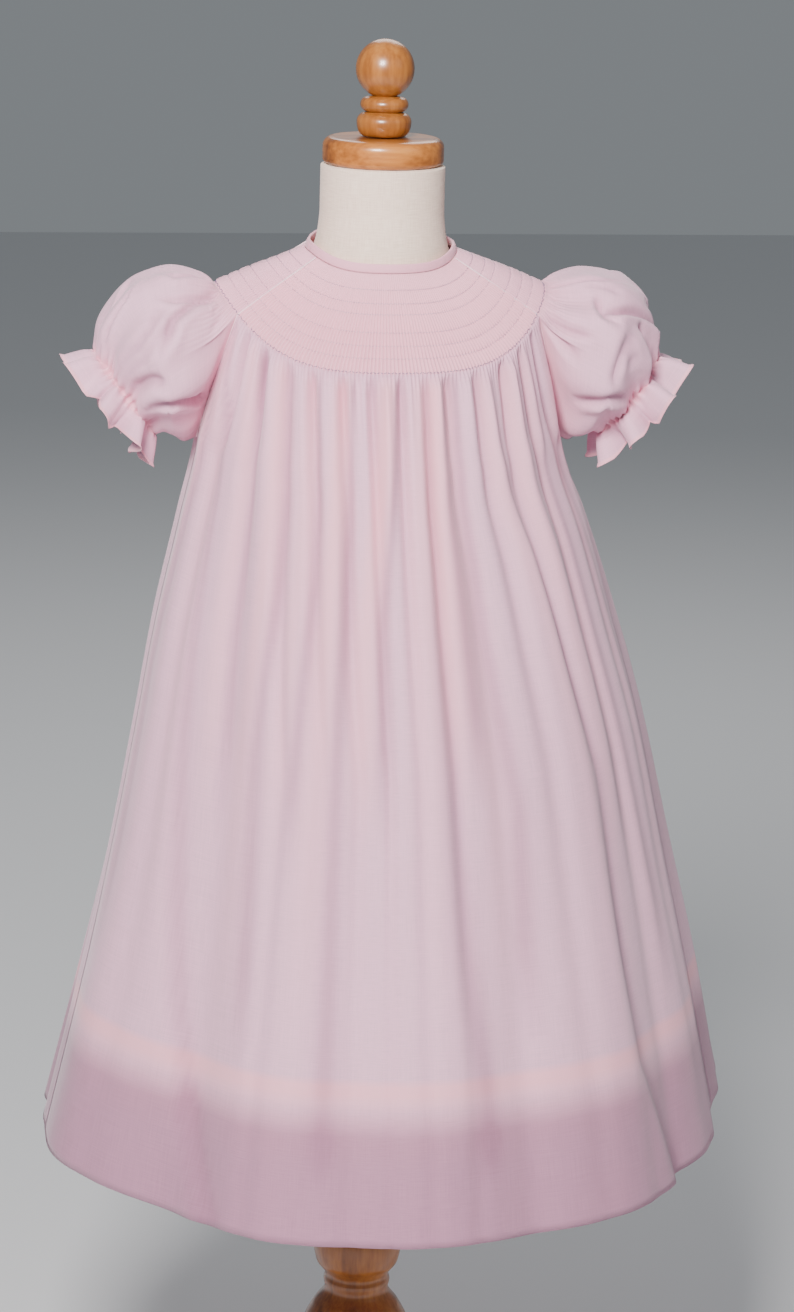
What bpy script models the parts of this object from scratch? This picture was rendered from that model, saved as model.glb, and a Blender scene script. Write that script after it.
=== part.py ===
"""A toddler's smocked bishop dress on a limbless dress form with a turned stand.

Metres, +Z up, the front faces -Y, and the origin is the middle of the foot's underside.
Every cloth piece is a wall: a smooth base surface worked out from the tables below, with
its pleats, gathers and waves moved out along that surface's own normal, so that a wall
never crosses itself. Left and right are the wearer's own, so left is +X.
"""
import math
from collections import namedtuple

import bpy
import numpy as np

# Cloth
WALL = 0.0015
SEAM_GAP = 0.0003
SMOCK_RAISE = (0.0013, 0.0006)
YOKE_STEPS = 7
FORM_CLEARANCE = 0.0009

# The body's rings, from the neckline down. Reaches are from the neck's axis, angles in degrees
# from the centre front. The seam is where the front ends; the back starts at 180 less that.
Ring = namedtuple("Ring", "name right left front back z_front z_side z_back seam gather wave")
RINGS = [
    Ring("neckline",   0.046, 0.046, 0.045, 0.045, 0.8110, 0.8200, 0.8240, 64, 0.0, 0.0),
    Ring("yoke edge",  0.100, 0.100, 0.085, 0.080, 0.7570, 0.7980, 0.7650, 65, 0.4, 0.0),
    Ring("raglan",     0.104, 0.104, 0.091, 0.085, 0.7350, 0.7665, 0.7420, 71, 0.9, 0.0),
    Ring("armhole",    0.107, 0.107, 0.097, 0.090, 0.7120, 0.7370, 0.7180, 79, 1.0, 0.0),
    Ring("armpit",     0.109, 0.110, 0.100, 0.093, 0.7010, 0.7190, 0.7060, 84, 1.0, 0.0),
    Ring("underarm",   0.110, 0.112, 0.103, 0.096, 0.6880, 0.7050, 0.6920, 90, 1.0, 0.0),
    Ring("chest",      0.120, 0.130, 0.113, 0.106, 0.6450, 0.6550, 0.6480, 90, 1.0, 0.15),
    Ring("waist",      0.133, 0.149, 0.127, 0.119, 0.5880, 0.5940, 0.5900, 90, 0.9, 0.3),
    Ring("hip",        0.144, 0.168, 0.142, 0.133, 0.5260, 0.5300, 0.5280, 90, 0.8, 0.4),
    Ring("thigh",      0.160, 0.188, 0.162, 0.152, 0.4400, 0.4420, 0.4400, 90, 0.6, 0.6),
    Ring("hem top",    0.180, 0.209, 0.187, 0.175, 0.3500, 0.3500, 0.3500, 90, 0.4, 0.85),
    Ring("hem",        0.201, 0.228, 0.209, 0.197, 0.2600, 0.2600, 0.2600, 90, 0.3, 1.0),
]
YOKE_EDGE = 1
UNDERARM = 5
HEM = len(RINGS) - 1
# Steps, in rows and in degrees, over which the body's own directions are measured
ROW_STEP = 0.12
ANGLE_STEP = 1.5
DRIFT_END = 8
EDGE_POWER = 6
YOKE_DOME = 0.0005

# Gathers: where each crest starts at the yoke edge and ends at the hem, as a share of the panel
# from one seam (-1) to the other (1), and how far it stands out at full gather.
Gather = namedtuple("Gather", "yoke hem depth")
SEAM_FADE = (0.0, 0.3, 0.6, 0.8)
FRONT_GATHERS = [
    Gather(-0.93, -0.84, 0.0045),
    Gather(-0.82, -0.66, 0.0040),
    Gather(-0.68, -0.38, 0.0065),
    Gather(-0.53, -0.27, 0.0035),
    Gather(-0.38, -0.16, 0.0060),
    Gather(-0.22, -0.07, 0.0035),
    Gather(-0.06, 0.00, 0.0060),
    Gather(0.06, 0.08, 0.0030),
    Gather(0.18, 0.16, 0.0060),
    Gather(0.35, 0.30, 0.0065),
    Gather(0.51, 0.44, 0.0035),
    Gather(0.68, 0.58, 0.0065),
    Gather(0.82, 0.72, 0.0040),
    Gather(0.93, 0.88, 0.0045),
]
BACK_GATHERS = [
    Gather(-0.86, -0.84, 0.0050),
    Gather(-0.60, -0.58, 0.0060),
    Gather(-0.34, -0.33, 0.0040),
    Gather(-0.10, -0.08, 0.0060),
    Gather(0.16, 0.14, 0.0045),
    Gather(0.42, 0.38, 0.0060),
    Gather(0.70, 0.66, 0.0040),
]

# Broad waves of the hem: centre and half width in degrees round the body, and reach outwards.
Wave = namedtuple("Wave", "angle spread reach")
HEM_WAVES = [
    Wave(-152, 14, 0.009), Wave(-128, 12, -0.009), Wave(-104, 13, 0.004),
    Wave(-78, 9, 0.004), Wave(-48, 15, -0.020), Wave(-24, 10, 0.004),
    Wave(-10, 7, -0.004), Wave(4, 9, 0.004), Wave(19, 7, -0.005),
    Wave(36, 9, 0.004), Wave(57, 10, -0.009), Wave(80, 9, -0.003),
    Wave(108, 12, 0.033), Wave(133, 12, -0.010), Wave(155, 12, 0.007),
]

# Sleeve sections, from the armhole out: top and low points in X and Z, half depth in Y, how much
# of the armhole's own outline is left, and the depth of the gathers.
Section = namedtuple("Section", "name top_x top_z low_x low_z half_depth armhole gather")
SLEEVE_SECTIONS = [
    Section("armhole",    0.1000, 0.7985, 0.1110, 0.7050, 0.047, 1.0, 0.0),
    Section("rise",       0.1090, 0.8035, 0.1185, 0.7020, 0.050, 0.55, 0.0018),
    Section("head",       0.1260, 0.8075, 0.1235, 0.7050, 0.054, 0.2, 0.0022),
    Section("puff",       0.1445, 0.8030, 0.1275, 0.7085, 0.055, 0.0, 0.0016),
    Section("fall",       0.1595, 0.7905, 0.1310, 0.7100, 0.049, 0.0, 0.0018),
    Section("draw",       0.1690, 0.7730, 0.1340, 0.7095, 0.039, 0.0, 0.0026),
    Section("elastic",    0.1715, 0.7560, 0.1365, 0.7080, 0.030, 0.0, 0.0022),
    Section("frill",      0.1790, 0.7525, 0.1395, 0.7020, 0.034, 0.0, 0.0038),
    Section("frill edge", 0.1910, 0.7475, 0.1450, 0.6920, 0.040, 0.0, 0.0064),
]
SEAM_STEPS = 2
SEAM_COLUMNS = SEAM_STEPS * (UNDERARM - YOKE_EDGE)
SHOULDER_COLUMNS = 8

# Neck binding, placket and buttons
BINDING_HEIGHT = 0.0055
BINDING_WALL = 0.0018
BINDING_COLUMNS = 44
BINDING_PROUD = 0.0003
BINDING_LEAN = 0.5
PLACKET_WIDTH = 0.016
PLACKET_WALL = 0.0012
PLACKET_LIFT = 0.0006
PLACKET_FOOT = UNDERARM
PLACKET_FLAT = 0.0096
PLACKET_FADE = 0.008
BUTTON_RADIUS = 0.0048
BUTTON_THICKNESS = 0.0022
BUTTON_SEGMENTS = 14
BUTTON_ROWS = (0.22, 0.95, 2.7)

# Dress form: half width, half depth and height of its sections below the shoulders
FormRing = namedtuple("FormRing", "half_width half_depth z")
NECK_RADIUS = 0.0375
CAP_BOTTOM = 0.8710
NECK_RINGS = [
    FormRing(NECK_RADIUS, NECK_RADIUS, CAP_BOTTOM - SEAM_GAP),
    FormRing(NECK_RADIUS, NECK_RADIUS, 0.8450),
    FormRing(0.0385, 0.0385, 0.8320),
]
TORSO_RINGS = [
    FormRing(0.0955, 0.0700, 0.7350),
    FormRing(0.0920, 0.0715, 0.7000),
    FormRing(0.0890, 0.072, 0.6500),
    FormRing(0.0880, 0.073, 0.6000),
    FormRing(0.0930, 0.077, 0.5500),
    FormRing(0.0950, 0.078, 0.5150),
    FormRing(0.0900, 0.073, 0.4990),
    FormRing(0.0780, 0.062, 0.4950),
]
FORM_SEGMENTS = 32

# Shoulders: how far down the yoke each section lies, and its drop below the cloth's inside
Shoulder = namedtuple("Shoulder", "row drop")
SHOULDERS = [
    Shoulder(0.00, 0.0035), Shoulder(0.14, FORM_CLEARANCE), Shoulder(0.35, FORM_CLEARANCE),
    Shoulder(0.60, FORM_CLEARANCE), Shoulder(0.80, 0.0016), Shoulder(0.97, 0.0050),
]

# Turned wood: radius and height, from the top down
Turning = namedtuple("Turning", "radius z")
CAP_RADIUS = 0.0365
CAP_TOP = 0.8870
CAP_EDGE = 0.0050
CAP_STEPS = 4
FINIAL_BASE = CAP_TOP + SEAM_GAP
CUP_HEIGHT = 0.0145
CUP_RADIUS = 0.0165
COLLAR_HEIGHT = 0.0095
COLLAR_RADIUS = 0.0145
BALL_RADIUS = 0.0176
BALL_STEPS = 9
BALL_TURN = 160
POST_TOP = TORSO_RINGS[-1].z - SEAM_GAP
BASE_TOP = 0.0300
POST_PROFILE = [
    Turning(0.0160, POST_TOP), Turning(0.0160, 0.3300), Turning(0.0165, 0.2150),
    Turning(0.0200, 0.1980), Turning(0.0265, 0.1880), Turning(0.0285, 0.1760),
    Turning(0.0265, 0.1640), Turning(0.0205, 0.1540), Turning(0.0215, 0.1500),
    Turning(0.0205, 0.1450), Turning(0.0280, 0.1330), Turning(0.0340, 0.1200),
    Turning(0.0355, 0.1060), Turning(0.0330, 0.0880), Turning(0.0250, 0.0700),
    Turning(0.0215, 0.0560), Turning(0.0300, 0.0420), Turning(0.0340, BASE_TOP + SEAM_GAP),
]
BASE_PROFILE = [
    Turning(0.0560, BASE_TOP), Turning(0.0900, 0.0270), Turning(0.1200, 0.0220),
    Turning(0.1290, 0.0160), Turning(0.1300, 0.0080), Turning(0.1270, 0.0),
]
TURN_SEGMENTS = 22
BASE_SEGMENTS = 32

# Colours read as linear red, green and blue
PINK = (0.70, 0.52, 0.57)
CREAM = (0.78, 0.70, 0.62)
WOOD = (0.46, 0.22, 0.08)
PEARL = (0.82, 0.78, 0.76)


def clear_scene():
    for thing in list(bpy.data.objects):
        bpy.data.objects.remove(thing)


def make_material(name, colour, roughness, metallic=0.0):
    material = bpy.data.materials.new(name)
    material.use_nodes = True
    shader = material.node_tree.nodes["Principled BSDF"]
    shader.inputs["Base Color"].default_value = (*colour, 1.0)
    shader.inputs["Roughness"].default_value = roughness
    shader.inputs["Metallic"].default_value = metallic
    return material


def add_mesh(name, points, faces, material, collection):
    """Makes one named object from points and faces that already face out."""
    mesh = bpy.data.meshes.new(name)
    mesh.from_pydata([tuple(float(c) for c in point) for point in points], [], faces)
    mesh.materials.append(material)
    mesh.shade_smooth()
    mesh.set_sharp_from_angle(angle=math.radians(50))
    thing = bpy.data.objects.new(name, mesh)
    collection.objects.link(thing)
    return thing


def unit(vectors):
    return vectors / np.linalg.norm(vectors, axis=-1, keepdims=True)


# The smooth body

def column_at(row, field):
    """One column of the ring table at any row, whole or between two rings."""
    return float(np.interp(row, range(len(RINGS)), [getattr(ring, field) for ring in RINGS]))


def body_point(row, angle):
    """A point of the smooth body; the yoke is slightly domed over the shoulders."""
    turn = math.radians(angle)
    side = column_at(row, "left" if angle > 0 else "right")
    front = abs(angle) <= 90
    reach = column_at(row, "front" if front else "back")
    end_z = column_at(row, "z_front" if front else "z_back")
    lift = math.sin(turn) ** 4
    dome = YOKE_DOME * math.sin(math.pi * row / YOKE_EDGE) if row < YOKE_EDGE else 0.0
    height = end_z + (column_at(row, "z_side") - end_z) * lift + dome
    return np.array((side * math.sin(turn), -reach * math.cos(turn), height))


def body_around(row, angle):
    """The smooth body's own direction round a ring."""
    return unit(body_point(row, angle + ANGLE_STEP) - body_point(row, angle - ANGLE_STEP))


def body_normal(row, angle):
    """The smooth body's outward normal, the same from either side of a seam."""
    below = body_point(min(row + ROW_STEP, HEM), angle)
    above = body_point(max(row - ROW_STEP, 0), angle)
    down = below - above
    return unit(np.cross(down, body_around(row, angle)))


def wave_reach(row, angle):
    """How far the broad waves carry the cloth out at this place."""
    total = 0.0
    for wave in HEM_WAVES:
        apart = (angle - wave.angle + 180) % 360 - 180
        total += wave.reach * math.exp(-((apart / wave.spread) ** 2))
    return total * column_at(row, "wave")


# Columns of a panel: a valley, a rise, a crest and a fall for each gather

def crest_columns(crests):
    shares = [-1.0]
    for index, crest in enumerate(crests):
        valley = (crest + crests[index + 1]) / 2 if index + 1 < len(crests) else 1.0
        shares += [(shares[-1] + crest) / 2, crest, (crest + valley) / 2, valley]
    return np.array(shares)


def drift_at(row):
    """How far the folds have moved from their yoke places to their hem places, by length."""
    lengths = np.hypot(np.diff([ring.front for ring in RINGS]), np.diff([ring.z_front for ring in RINGS]))
    falls = np.concatenate(((0.0,), np.cumsum(lengths)))
    fall = float(np.interp(row, range(len(RINGS)), falls))
    return min(max((fall - falls[YOKE_EDGE]) / (falls[DRIFT_END] - falls[YOKE_EDGE]), 0.0), 1.0)


def panel_angles(gathers, row, which):
    """Angles of a panel's columns: straight folds inside, and a fan of cloth beside the seams."""
    yoke = crest_columns([gather.yoke for gather in gathers])
    hem = crest_columns([gather.hem for gather in gathers])
    if row <= YOKE_EDGE:
        first, last = panel_edges(row, which)
        return first + (last - first) * (yoke + 1) / 2
    high = np.interp(yoke, (-1.0, 1.0), panel_edges(YOKE_EDGE, which))
    low = np.interp(hem, (-1.0, 1.0), panel_edges(UNDERARM, which))
    angles = high + (low - high) * drift_at(row)
    first, last = panel_edges(row, which)
    angles += (first - angles[0]) * np.clip(-yoke, 0.0, 1.0) ** EDGE_POWER
    angles += (last - angles[-1]) * np.clip(yoke, 0.0, 1.0) ** EDGE_POWER
    return angles


def gather_reach(gathers, row):
    """Reach of each column: up at a crest, back at a valley, and nothing at the two seams."""
    beat = (0.0, 0.5, 1.0, 0.5)
    reach = [gathers[index // 4].depth * (beat[index % 4] - 0.5) for index in range(4 * len(gathers))]
    reach.append(-gathers[-1].depth / 2)
    reach = np.array(reach) * column_at(row, "gather")
    reach[:4] *= SEAM_FADE
    reach[-4:] *= SEAM_FADE[::-1]
    return reach


def body_rows():
    yoke = [step / YOKE_STEPS for step in range(YOKE_STEPS)]
    return yoke + [float(row) for row in range(YOKE_EDGE, HEM + 1)]


def clear_of_placket(row, points):
    """0 under the placket, where the panels lie flat, rising to 1 beside it."""
    if row > PLACKET_FOOT:
        return np.ones(len(points))
    beside = (np.abs(points[:, 0]) - PLACKET_FLAT) / PLACKET_FADE
    return np.where(points[:, 1] > 0, np.clip(beside, 0.0, 1.0), 1.0)


def smock_raise(row_index, columns):
    """Pleats of the smocking: every other column stands up, less on every other row."""
    height = SMOCK_RAISE[row_index % 2] if row_index else 0.0
    raised = np.array([height * (column % 2) for column in range(columns)])
    raised[[0, -1]] = 0.0
    return raised


# Seams

def armhole_loop(side):
    """The armhole from the underarm up the front, over the yoke edge and down the back.

    Each entry is a row on the body and the angle there.
    """
    rise = [UNDERARM - step / SEAM_STEPS for step in range(SEAM_COLUMNS)]
    front = [(row, column_at(row, "seam")) for row in rise]
    edge = column_at(YOKE_EDGE, "seam")
    shoulder = [(float(YOKE_EDGE), angle) for angle in np.linspace(edge, 180 - edge, 2 * SHOULDER_COLUMNS + 1)]
    back = [(row, 180 - angle) for row, angle in front[::-1]]
    return [(row, side * float(angle)) for row, angle in front + shoulder + back]


def straighten(values):
    """Makes the two seams of an armhole loop straight between the body's own rows."""
    values = values.copy()
    for first in (0, len(values) - 1 - SEAM_COLUMNS):
        for knot in range(first, first + SEAM_COLUMNS, SEAM_STEPS):
            for step in range(1, SEAM_STEPS):
                share = step / SEAM_STEPS
                values[knot + step] = values[knot] * (1 - share) + values[knot + SEAM_STEPS] * share
    return values


def sleeve_section(section, turn, side):
    """A point of a plain sleeve section; turn is 180 at the front underarm and 0 on top."""
    middle_x = (section.top_x + section.low_x) / 2
    middle_z = (section.top_z + section.low_z) / 2
    half_x = (section.top_x - section.low_x) / 2
    half_z = (section.top_z - section.low_z) / 2
    up = math.cos(math.radians(turn))
    fore = math.sin(math.radians(turn))
    return np.array((
        side * (middle_x + half_x * up),
        -section.half_depth * fore,
        middle_z + half_z * up,
    ))


def sleeve_base(side):
    """Rings of the smooth sleeve, from the armhole loop out to the frill's edge."""
    loop = armhole_loop(side)
    last = len(loop) - 1
    turns = [180 - 360 * index / last for index in range(last + 1)]
    armhole = straighten(np.array([body_point(row, angle) for row, angle in loop]))
    plain = [sleeve_section(SLEEVE_SECTIONS[0], turn, side) for turn in turns]
    rings = [armhole]
    for section in SLEEVE_SECTIONS[1:]:
        rings.append(np.array([
            sleeve_section(section, turn, side) + (armhole[index] - plain[index]) * section.armhole
            for index, turn in enumerate(turns)
        ]))
    return np.array(rings)


def sleeve_normals(rings, side):
    """Outward normals of the smooth sleeve; its two edges meet under the arm."""
    out = np.gradient(rings, axis=0)
    around = np.empty_like(rings)
    around[:, 1:-1] = rings[:, 2:] - rings[:, :-2]
    around[:, 0] = rings[:, 1] - rings[:, -2]
    around[:, -1] = around[:, 0]
    return unit(np.cross(around, out)) * -side


def seam_frame(side):
    """Point, wall direction and gap direction at each place of the armhole loop."""
    rings = sleeve_base(side)
    sleeve = sleeve_normals(rings, side)[0]
    body = np.array([body_normal(row, angle) for row, angle in armhole_loop(side)])
    mitre = unit(sleeve + body)
    along = np.gradient(rings[0], axis=0)
    along[0] = along[-1] = rings[0][1] - rings[0][-2]
    away = unit(np.cross(along, mitre)) * side
    return rings[0], straighten(mitre), straighten(away)


def seam_place(row, angle):
    """Wall direction and gap direction at a raglan seam below the yoke edge."""
    side = 1 if angle > 0 else -1
    points, mitre, away = seam_frame(side)
    target = body_point(row, angle)
    nearest = int(np.argmin(np.linalg.norm(points - target, axis=1)))
    return mitre[nearest], away[nearest]


def split_quad(first, second, third, fourth):
    """Two triangles; the same cut on both sides of a wall keeps its sides apart."""
    return [(third, second, first), (fourth, third, first)]


def sheet_faces(rows, columns, offset=0):
    """Triangles over a grid of points, facing out."""
    faces = []
    for row in range(rows - 1):
        for column in range(columns - 1):
            corner = offset + row * columns + column
            faces += split_quad(corner, corner + 1, corner + columns + 1, corner + columns)
    return faces


def turned_over(faces, offset):
    return [tuple(index + offset for index in face[::-1]) for face in faces]


def rim_faces(loop, offset):
    """Joins a closed loop of outer points to the inner points behind it."""
    faces = []
    for index, here in enumerate(loop):
        after = loop[(index + 1) % len(loop)]
        faces.append((here, after, after + offset, here + offset))
    return faces


def grid_rim(rows, columns):
    top = list(range(columns))
    right = [row * columns + columns - 1 for row in range(1, rows)]
    bottom = [(rows - 1) * columns + column for column in range(columns - 2, -1, -1)]
    left = [row * columns for row in range(rows - 2, 0, -1)]
    return top + right + bottom + left


def add_wall(name, outer, inner, material, collection):
    """A closed wall between two grids of points."""
    rows, columns = outer.shape[:2]
    points = np.concatenate((outer.reshape(-1, 3), inner.reshape(-1, 3)))
    count = rows * columns
    sheet = sheet_faces(rows, columns)
    faces = sheet + turned_over(sheet, count) + rim_faces(grid_rim(rows, columns), count)
    return add_mesh(name, points, faces, material, collection)


# Cloth panels

def panel_edges(row, which):
    """Angles of a panel's two edges at a row."""
    seam = column_at(row, "seam")
    if which == "front":
        return -seam, seam
    if which == "back_left":
        return 180 - seam, 180.0
    return -180.0, seam - 180


def add_panel(name, gathers, material, collection):
    outer, inner = [], []
    for row_index, row in enumerate(body_rows()):
        first, last = panel_edges(row, name)
        angles = panel_angles(gathers, row, name)
        points = np.array([body_point(row, angle) for angle in angles])
        normals = np.array([body_normal(row, angle) for angle in angles])
        around = unit(np.gradient(points, axis=0))
        points[0] += around[0] * SEAM_GAP / 2
        points[-1] -= around[-1] * SEAM_GAP / 2
        if YOKE_EDGE < row <= UNDERARM:
            for end, angle in ((0, first), (-1, last)):
                if abs(angle) < 180:
                    normals[end], away = seam_place(row, angle)
                    points[end] = body_point(row, angle) - away * SEAM_GAP / 2
        flat = clear_of_placket(row, points)
        reach = gather_reach(gathers, row) * flat
        reach += [wave_reach(row, angle) for angle in angles]
        raised = smock_raise(row_index, len(angles)) * flat * (row < YOKE_EDGE)
        plain = points + normals * reach[:, None]
        outer.append(plain + normals * raised[:, None])
        inner.append(plain - normals * WALL)
    return add_wall(name, np.array(outer), np.array(inner), material, collection)


def sleeve_reach(section_index, columns):
    """Gathers round the sleeve, none at the underarm seam."""
    depth = SLEEVE_SECTIONS[section_index].gather
    reach = np.array([-math.cos(math.pi * column / 2) * depth for column in range(columns)])
    reach[[0, -1]] = 0.0
    return reach


def add_sleeve(name, side, material, collection):
    rings = sleeve_base(side)
    normals = sleeve_normals(rings, side)
    points, mitre, away = seam_frame(side)
    normals[0] = mitre
    columns = rings.shape[1]
    on_seam = np.ones(columns, bool)
    on_seam[SEAM_COLUMNS + 1:columns - SEAM_COLUMNS - 1] = False
    rings[0][on_seam] = (points + away * SEAM_GAP / 2)[on_seam]
    slit = np.array((0.0, SEAM_GAP / 2, 0.0))
    rings[:, 0] -= slit
    rings[:, -1] += slit
    reach = np.array([sleeve_reach(index, columns) for index in range(len(rings))])
    outer = rings + normals * reach[:, :, None]
    inner = outer - normals * WALL

    shoulder = range(SEAM_COLUMNS, SEAM_COLUMNS + 2 * SHOULDER_COLUMNS + 1)
    yoke_outer, yoke_inner = [], []
    for row_index in range(YOKE_STEPS):
        row = row_index / YOKE_STEPS
        edge = column_at(row, "seam")
        angles = side * np.linspace(edge, 180 - edge, len(shoulder))
        strip = np.array([body_point(row, angle) for angle in angles])
        strip_normals = np.array([body_normal(row, angle) for angle in angles])
        around = unit(np.gradient(strip, axis=0))
        strip[0] += around[0] * SEAM_GAP / 2
        strip[-1] -= around[-1] * SEAM_GAP / 2
        raised = smock_raise(row_index, len(shoulder))
        yoke_outer.append(strip + strip_normals * raised[:, None])
        yoke_inner.append(strip - strip_normals * WALL)

    width = len(shoulder)
    tube_count = outer.shape[0] * columns
    yoke_count = YOKE_STEPS * width
    all_points = np.concatenate((
        outer.reshape(-1, 3), np.array(yoke_outer).reshape(-1, 3),
        inner.reshape(-1, 3), np.array(yoke_inner).reshape(-1, 3),
    ))
    half = tube_count + yoke_count
    last_yoke = tube_count + (YOKE_STEPS - 1) * width
    sheet = sheet_faces(len(rings), columns)
    sheet += sheet_faces(YOKE_STEPS, width, offset=tube_count)
    for step in range(width - 1):
        upper = last_yoke + step
        lower = SEAM_COLUMNS + step
        sheet += split_quad(upper, upper + 1, lower + 1, lower)
    faces = sheet + turned_over(sheet, half)
    rim = list(range(SEAM_COLUMNS + 1))
    rim += [tube_count + row * width for row in range(YOKE_STEPS - 1, -1, -1)]
    rim += [tube_count + step for step in range(1, width)]
    rim += [tube_count + row * width + width - 1 for row in range(1, YOKE_STEPS)]
    rim += list(range(SEAM_COLUMNS + width - 1, columns))
    rim += [ring * columns + columns - 1 for ring in range(1, len(rings))]
    rim += [(len(rings) - 1) * columns + column for column in range(columns - 2, -1, -1)]
    rim += [ring * columns for ring in range(len(rings) - 2, 0, -1)]
    faces += rim_faces(rim, half)
    if side < 0:
        faces = [face[::-1] for face in faces]
    return add_mesh(name, all_points, faces, material, collection)


def add_binding(material, collection):
    """The bias strip: a short wall above the neckline, open by a slit at the centre back."""
    slit = math.degrees(SEAM_GAP / 2 / RINGS[0].back)
    angles = np.linspace(-180 + slit, 180 - slit, BINDING_COLUMNS + 1)
    edge = np.array([body_point(0, angle) for angle in angles])
    normals = np.array([body_normal(0, angle) for angle in angles])
    around = np.array([body_around(0, angle) for angle in angles])
    up = unit(np.cross(normals, around))
    lift = unit(up * BINDING_LEAN + np.array((0.0, 0.0, 1.0)))
    face = unit(np.cross(around, lift))
    rise = (BINDING_HEIGHT, SEAM_GAP)
    outer = np.array([edge + lift * height + face * BINDING_PROUD for height in rise])
    inner = outer - face * BINDING_WALL
    return add_wall("neck_binding", outer, inner, material, collection)


def placket_point(row, offset, lift):
    """A place on the centre back, moved out from the panels."""
    reach = column_at(row, "left" if offset > 0 else "right")
    angle = 180 - math.degrees(math.asin(abs(offset) / reach))
    angle = angle if offset > 0 else -angle
    return body_point(row, angle) + body_normal(row, angle) * lift


def add_placket(material, collection):
    """The strip over the opening; its middle column stands just beside the centre line."""
    rows = [row for row in body_rows() if row <= PLACKET_FOOT]
    offsets = [PLACKET_WIDTH * share for share in (0.5, 0.25, 0.001, -0.25, -0.5)]
    outer, inner = [], []
    for row in rows:
        outer.append([placket_point(row, offset, PLACKET_LIFT + PLACKET_WALL) for offset in offsets])
        inner.append([placket_point(row, offset, PLACKET_LIFT) for offset in offsets])
    return add_wall("back_placket", np.array(outer), np.array(inner), material, collection)


def add_button(name, row, material, collection):
    """A small round button with a sunk middle, flat on the placket."""
    normal = body_normal(row, 180.0)
    lift = PLACKET_LIFT + PLACKET_WALL + SEAM_GAP
    seat = body_point(row, 180.0) + normal * lift
    profile = [
        (0.0, BUTTON_THICKNESS * 0.7), (BUTTON_RADIUS * 0.55, BUTTON_THICKNESS * 0.7),
        (BUTTON_RADIUS * 0.8, BUTTON_THICKNESS), (BUTTON_RADIUS, BUTTON_THICKNESS * 0.6),
        (BUTTON_RADIUS * 0.85, 0.0), (0.0, 0.0),
    ]
    button = add_turned(name, [Turning(radius, height) for radius, height in profile],
                        BUTTON_SEGMENTS, material, collection)
    button.location = seat
    tilt = math.atan2(normal[1], normal[2])
    button.rotation_euler = (-tilt, 0.0, 0.0)
    return button


# Form and stand

def add_turned(name, profile, segments, material, collection):
    """A profile at +X, from the top down its outer side, turned round Z by a Screw."""
    mesh = bpy.data.meshes.new(name)
    places = [(turning.radius, 0.0, turning.z) for turning in profile]
    if places[0][0] > 0:
        places.insert(0, (0.0, 0.0, places[0][2]))
    if places[-1][0] > 0:
        places.append((0.0, 0.0, places[-1][2]))
    mesh.from_pydata(places, [(index, index + 1) for index in range(len(places) - 1)], [])
    mesh.materials.append(material)
    thing = bpy.data.objects.new(name, mesh)
    collection.objects.link(thing)
    screw = thing.modifiers.new("turn", "SCREW")
    screw.steps = segments
    screw.render_steps = segments
    screw.use_merge_vertices = True
    screw.merge_threshold = 0.00005
    screw.use_smooth_shade = True
    return thing


def ellipse_ring(ring):
    turns = [2 * math.pi * index / FORM_SEGMENTS for index in range(FORM_SEGMENTS)]
    return [(ring.half_width * math.sin(turn), -ring.half_depth * math.cos(turn), ring.z)
            for turn in turns]


def shoulder_ring(shoulder):
    """The form's shoulders lie just under the yoke, on the cloth's own section."""
    ring = []
    for index in range(FORM_SEGMENTS):
        angle = (360 * index / FORM_SEGMENTS + 180) % 360 - 180
        normal = body_normal(shoulder.row, angle)
        ring.append(body_point(shoulder.row, angle) - normal * (WALL + shoulder.drop))
    return ring


def add_torso(material, collection):
    rings = [ellipse_ring(ring) for ring in NECK_RINGS]
    rings += [shoulder_ring(shoulder) for shoulder in SHOULDERS]
    rings += [ellipse_ring(ring) for ring in TORSO_RINGS]
    points = [point for ring in rings for point in ring]
    faces = []
    for level in range(len(rings) - 1):
        for index in range(FORM_SEGMENTS):
            here = level * FORM_SEGMENTS + index
            after = level * FORM_SEGMENTS + (index + 1) % FORM_SEGMENTS
            faces.append((here, here + FORM_SEGMENTS, after + FORM_SEGMENTS, after))
    faces.append(tuple(range(FORM_SEGMENTS)))
    last = (len(rings) - 1) * FORM_SEGMENTS
    faces.append(tuple(range(last + FORM_SEGMENTS - 1, last - 1, -1)))
    return add_mesh("form_torso", points, faces, material, collection)


def cap_profile():
    """A disc with rounded edges."""
    places = []
    for step in range(CAP_STEPS + 1):
        turn = math.pi / 2 * step / CAP_STEPS
        places.append(Turning(CAP_RADIUS - CAP_EDGE * (1 - math.sin(turn)),
                              CAP_TOP - CAP_EDGE * (1 - math.cos(turn))))
    places.append(Turning(CAP_RADIUS, CAP_BOTTOM + CAP_EDGE / 2))
    places.append(Turning(CAP_RADIUS - CAP_EDGE / 3, CAP_BOTTOM))
    return places


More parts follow.
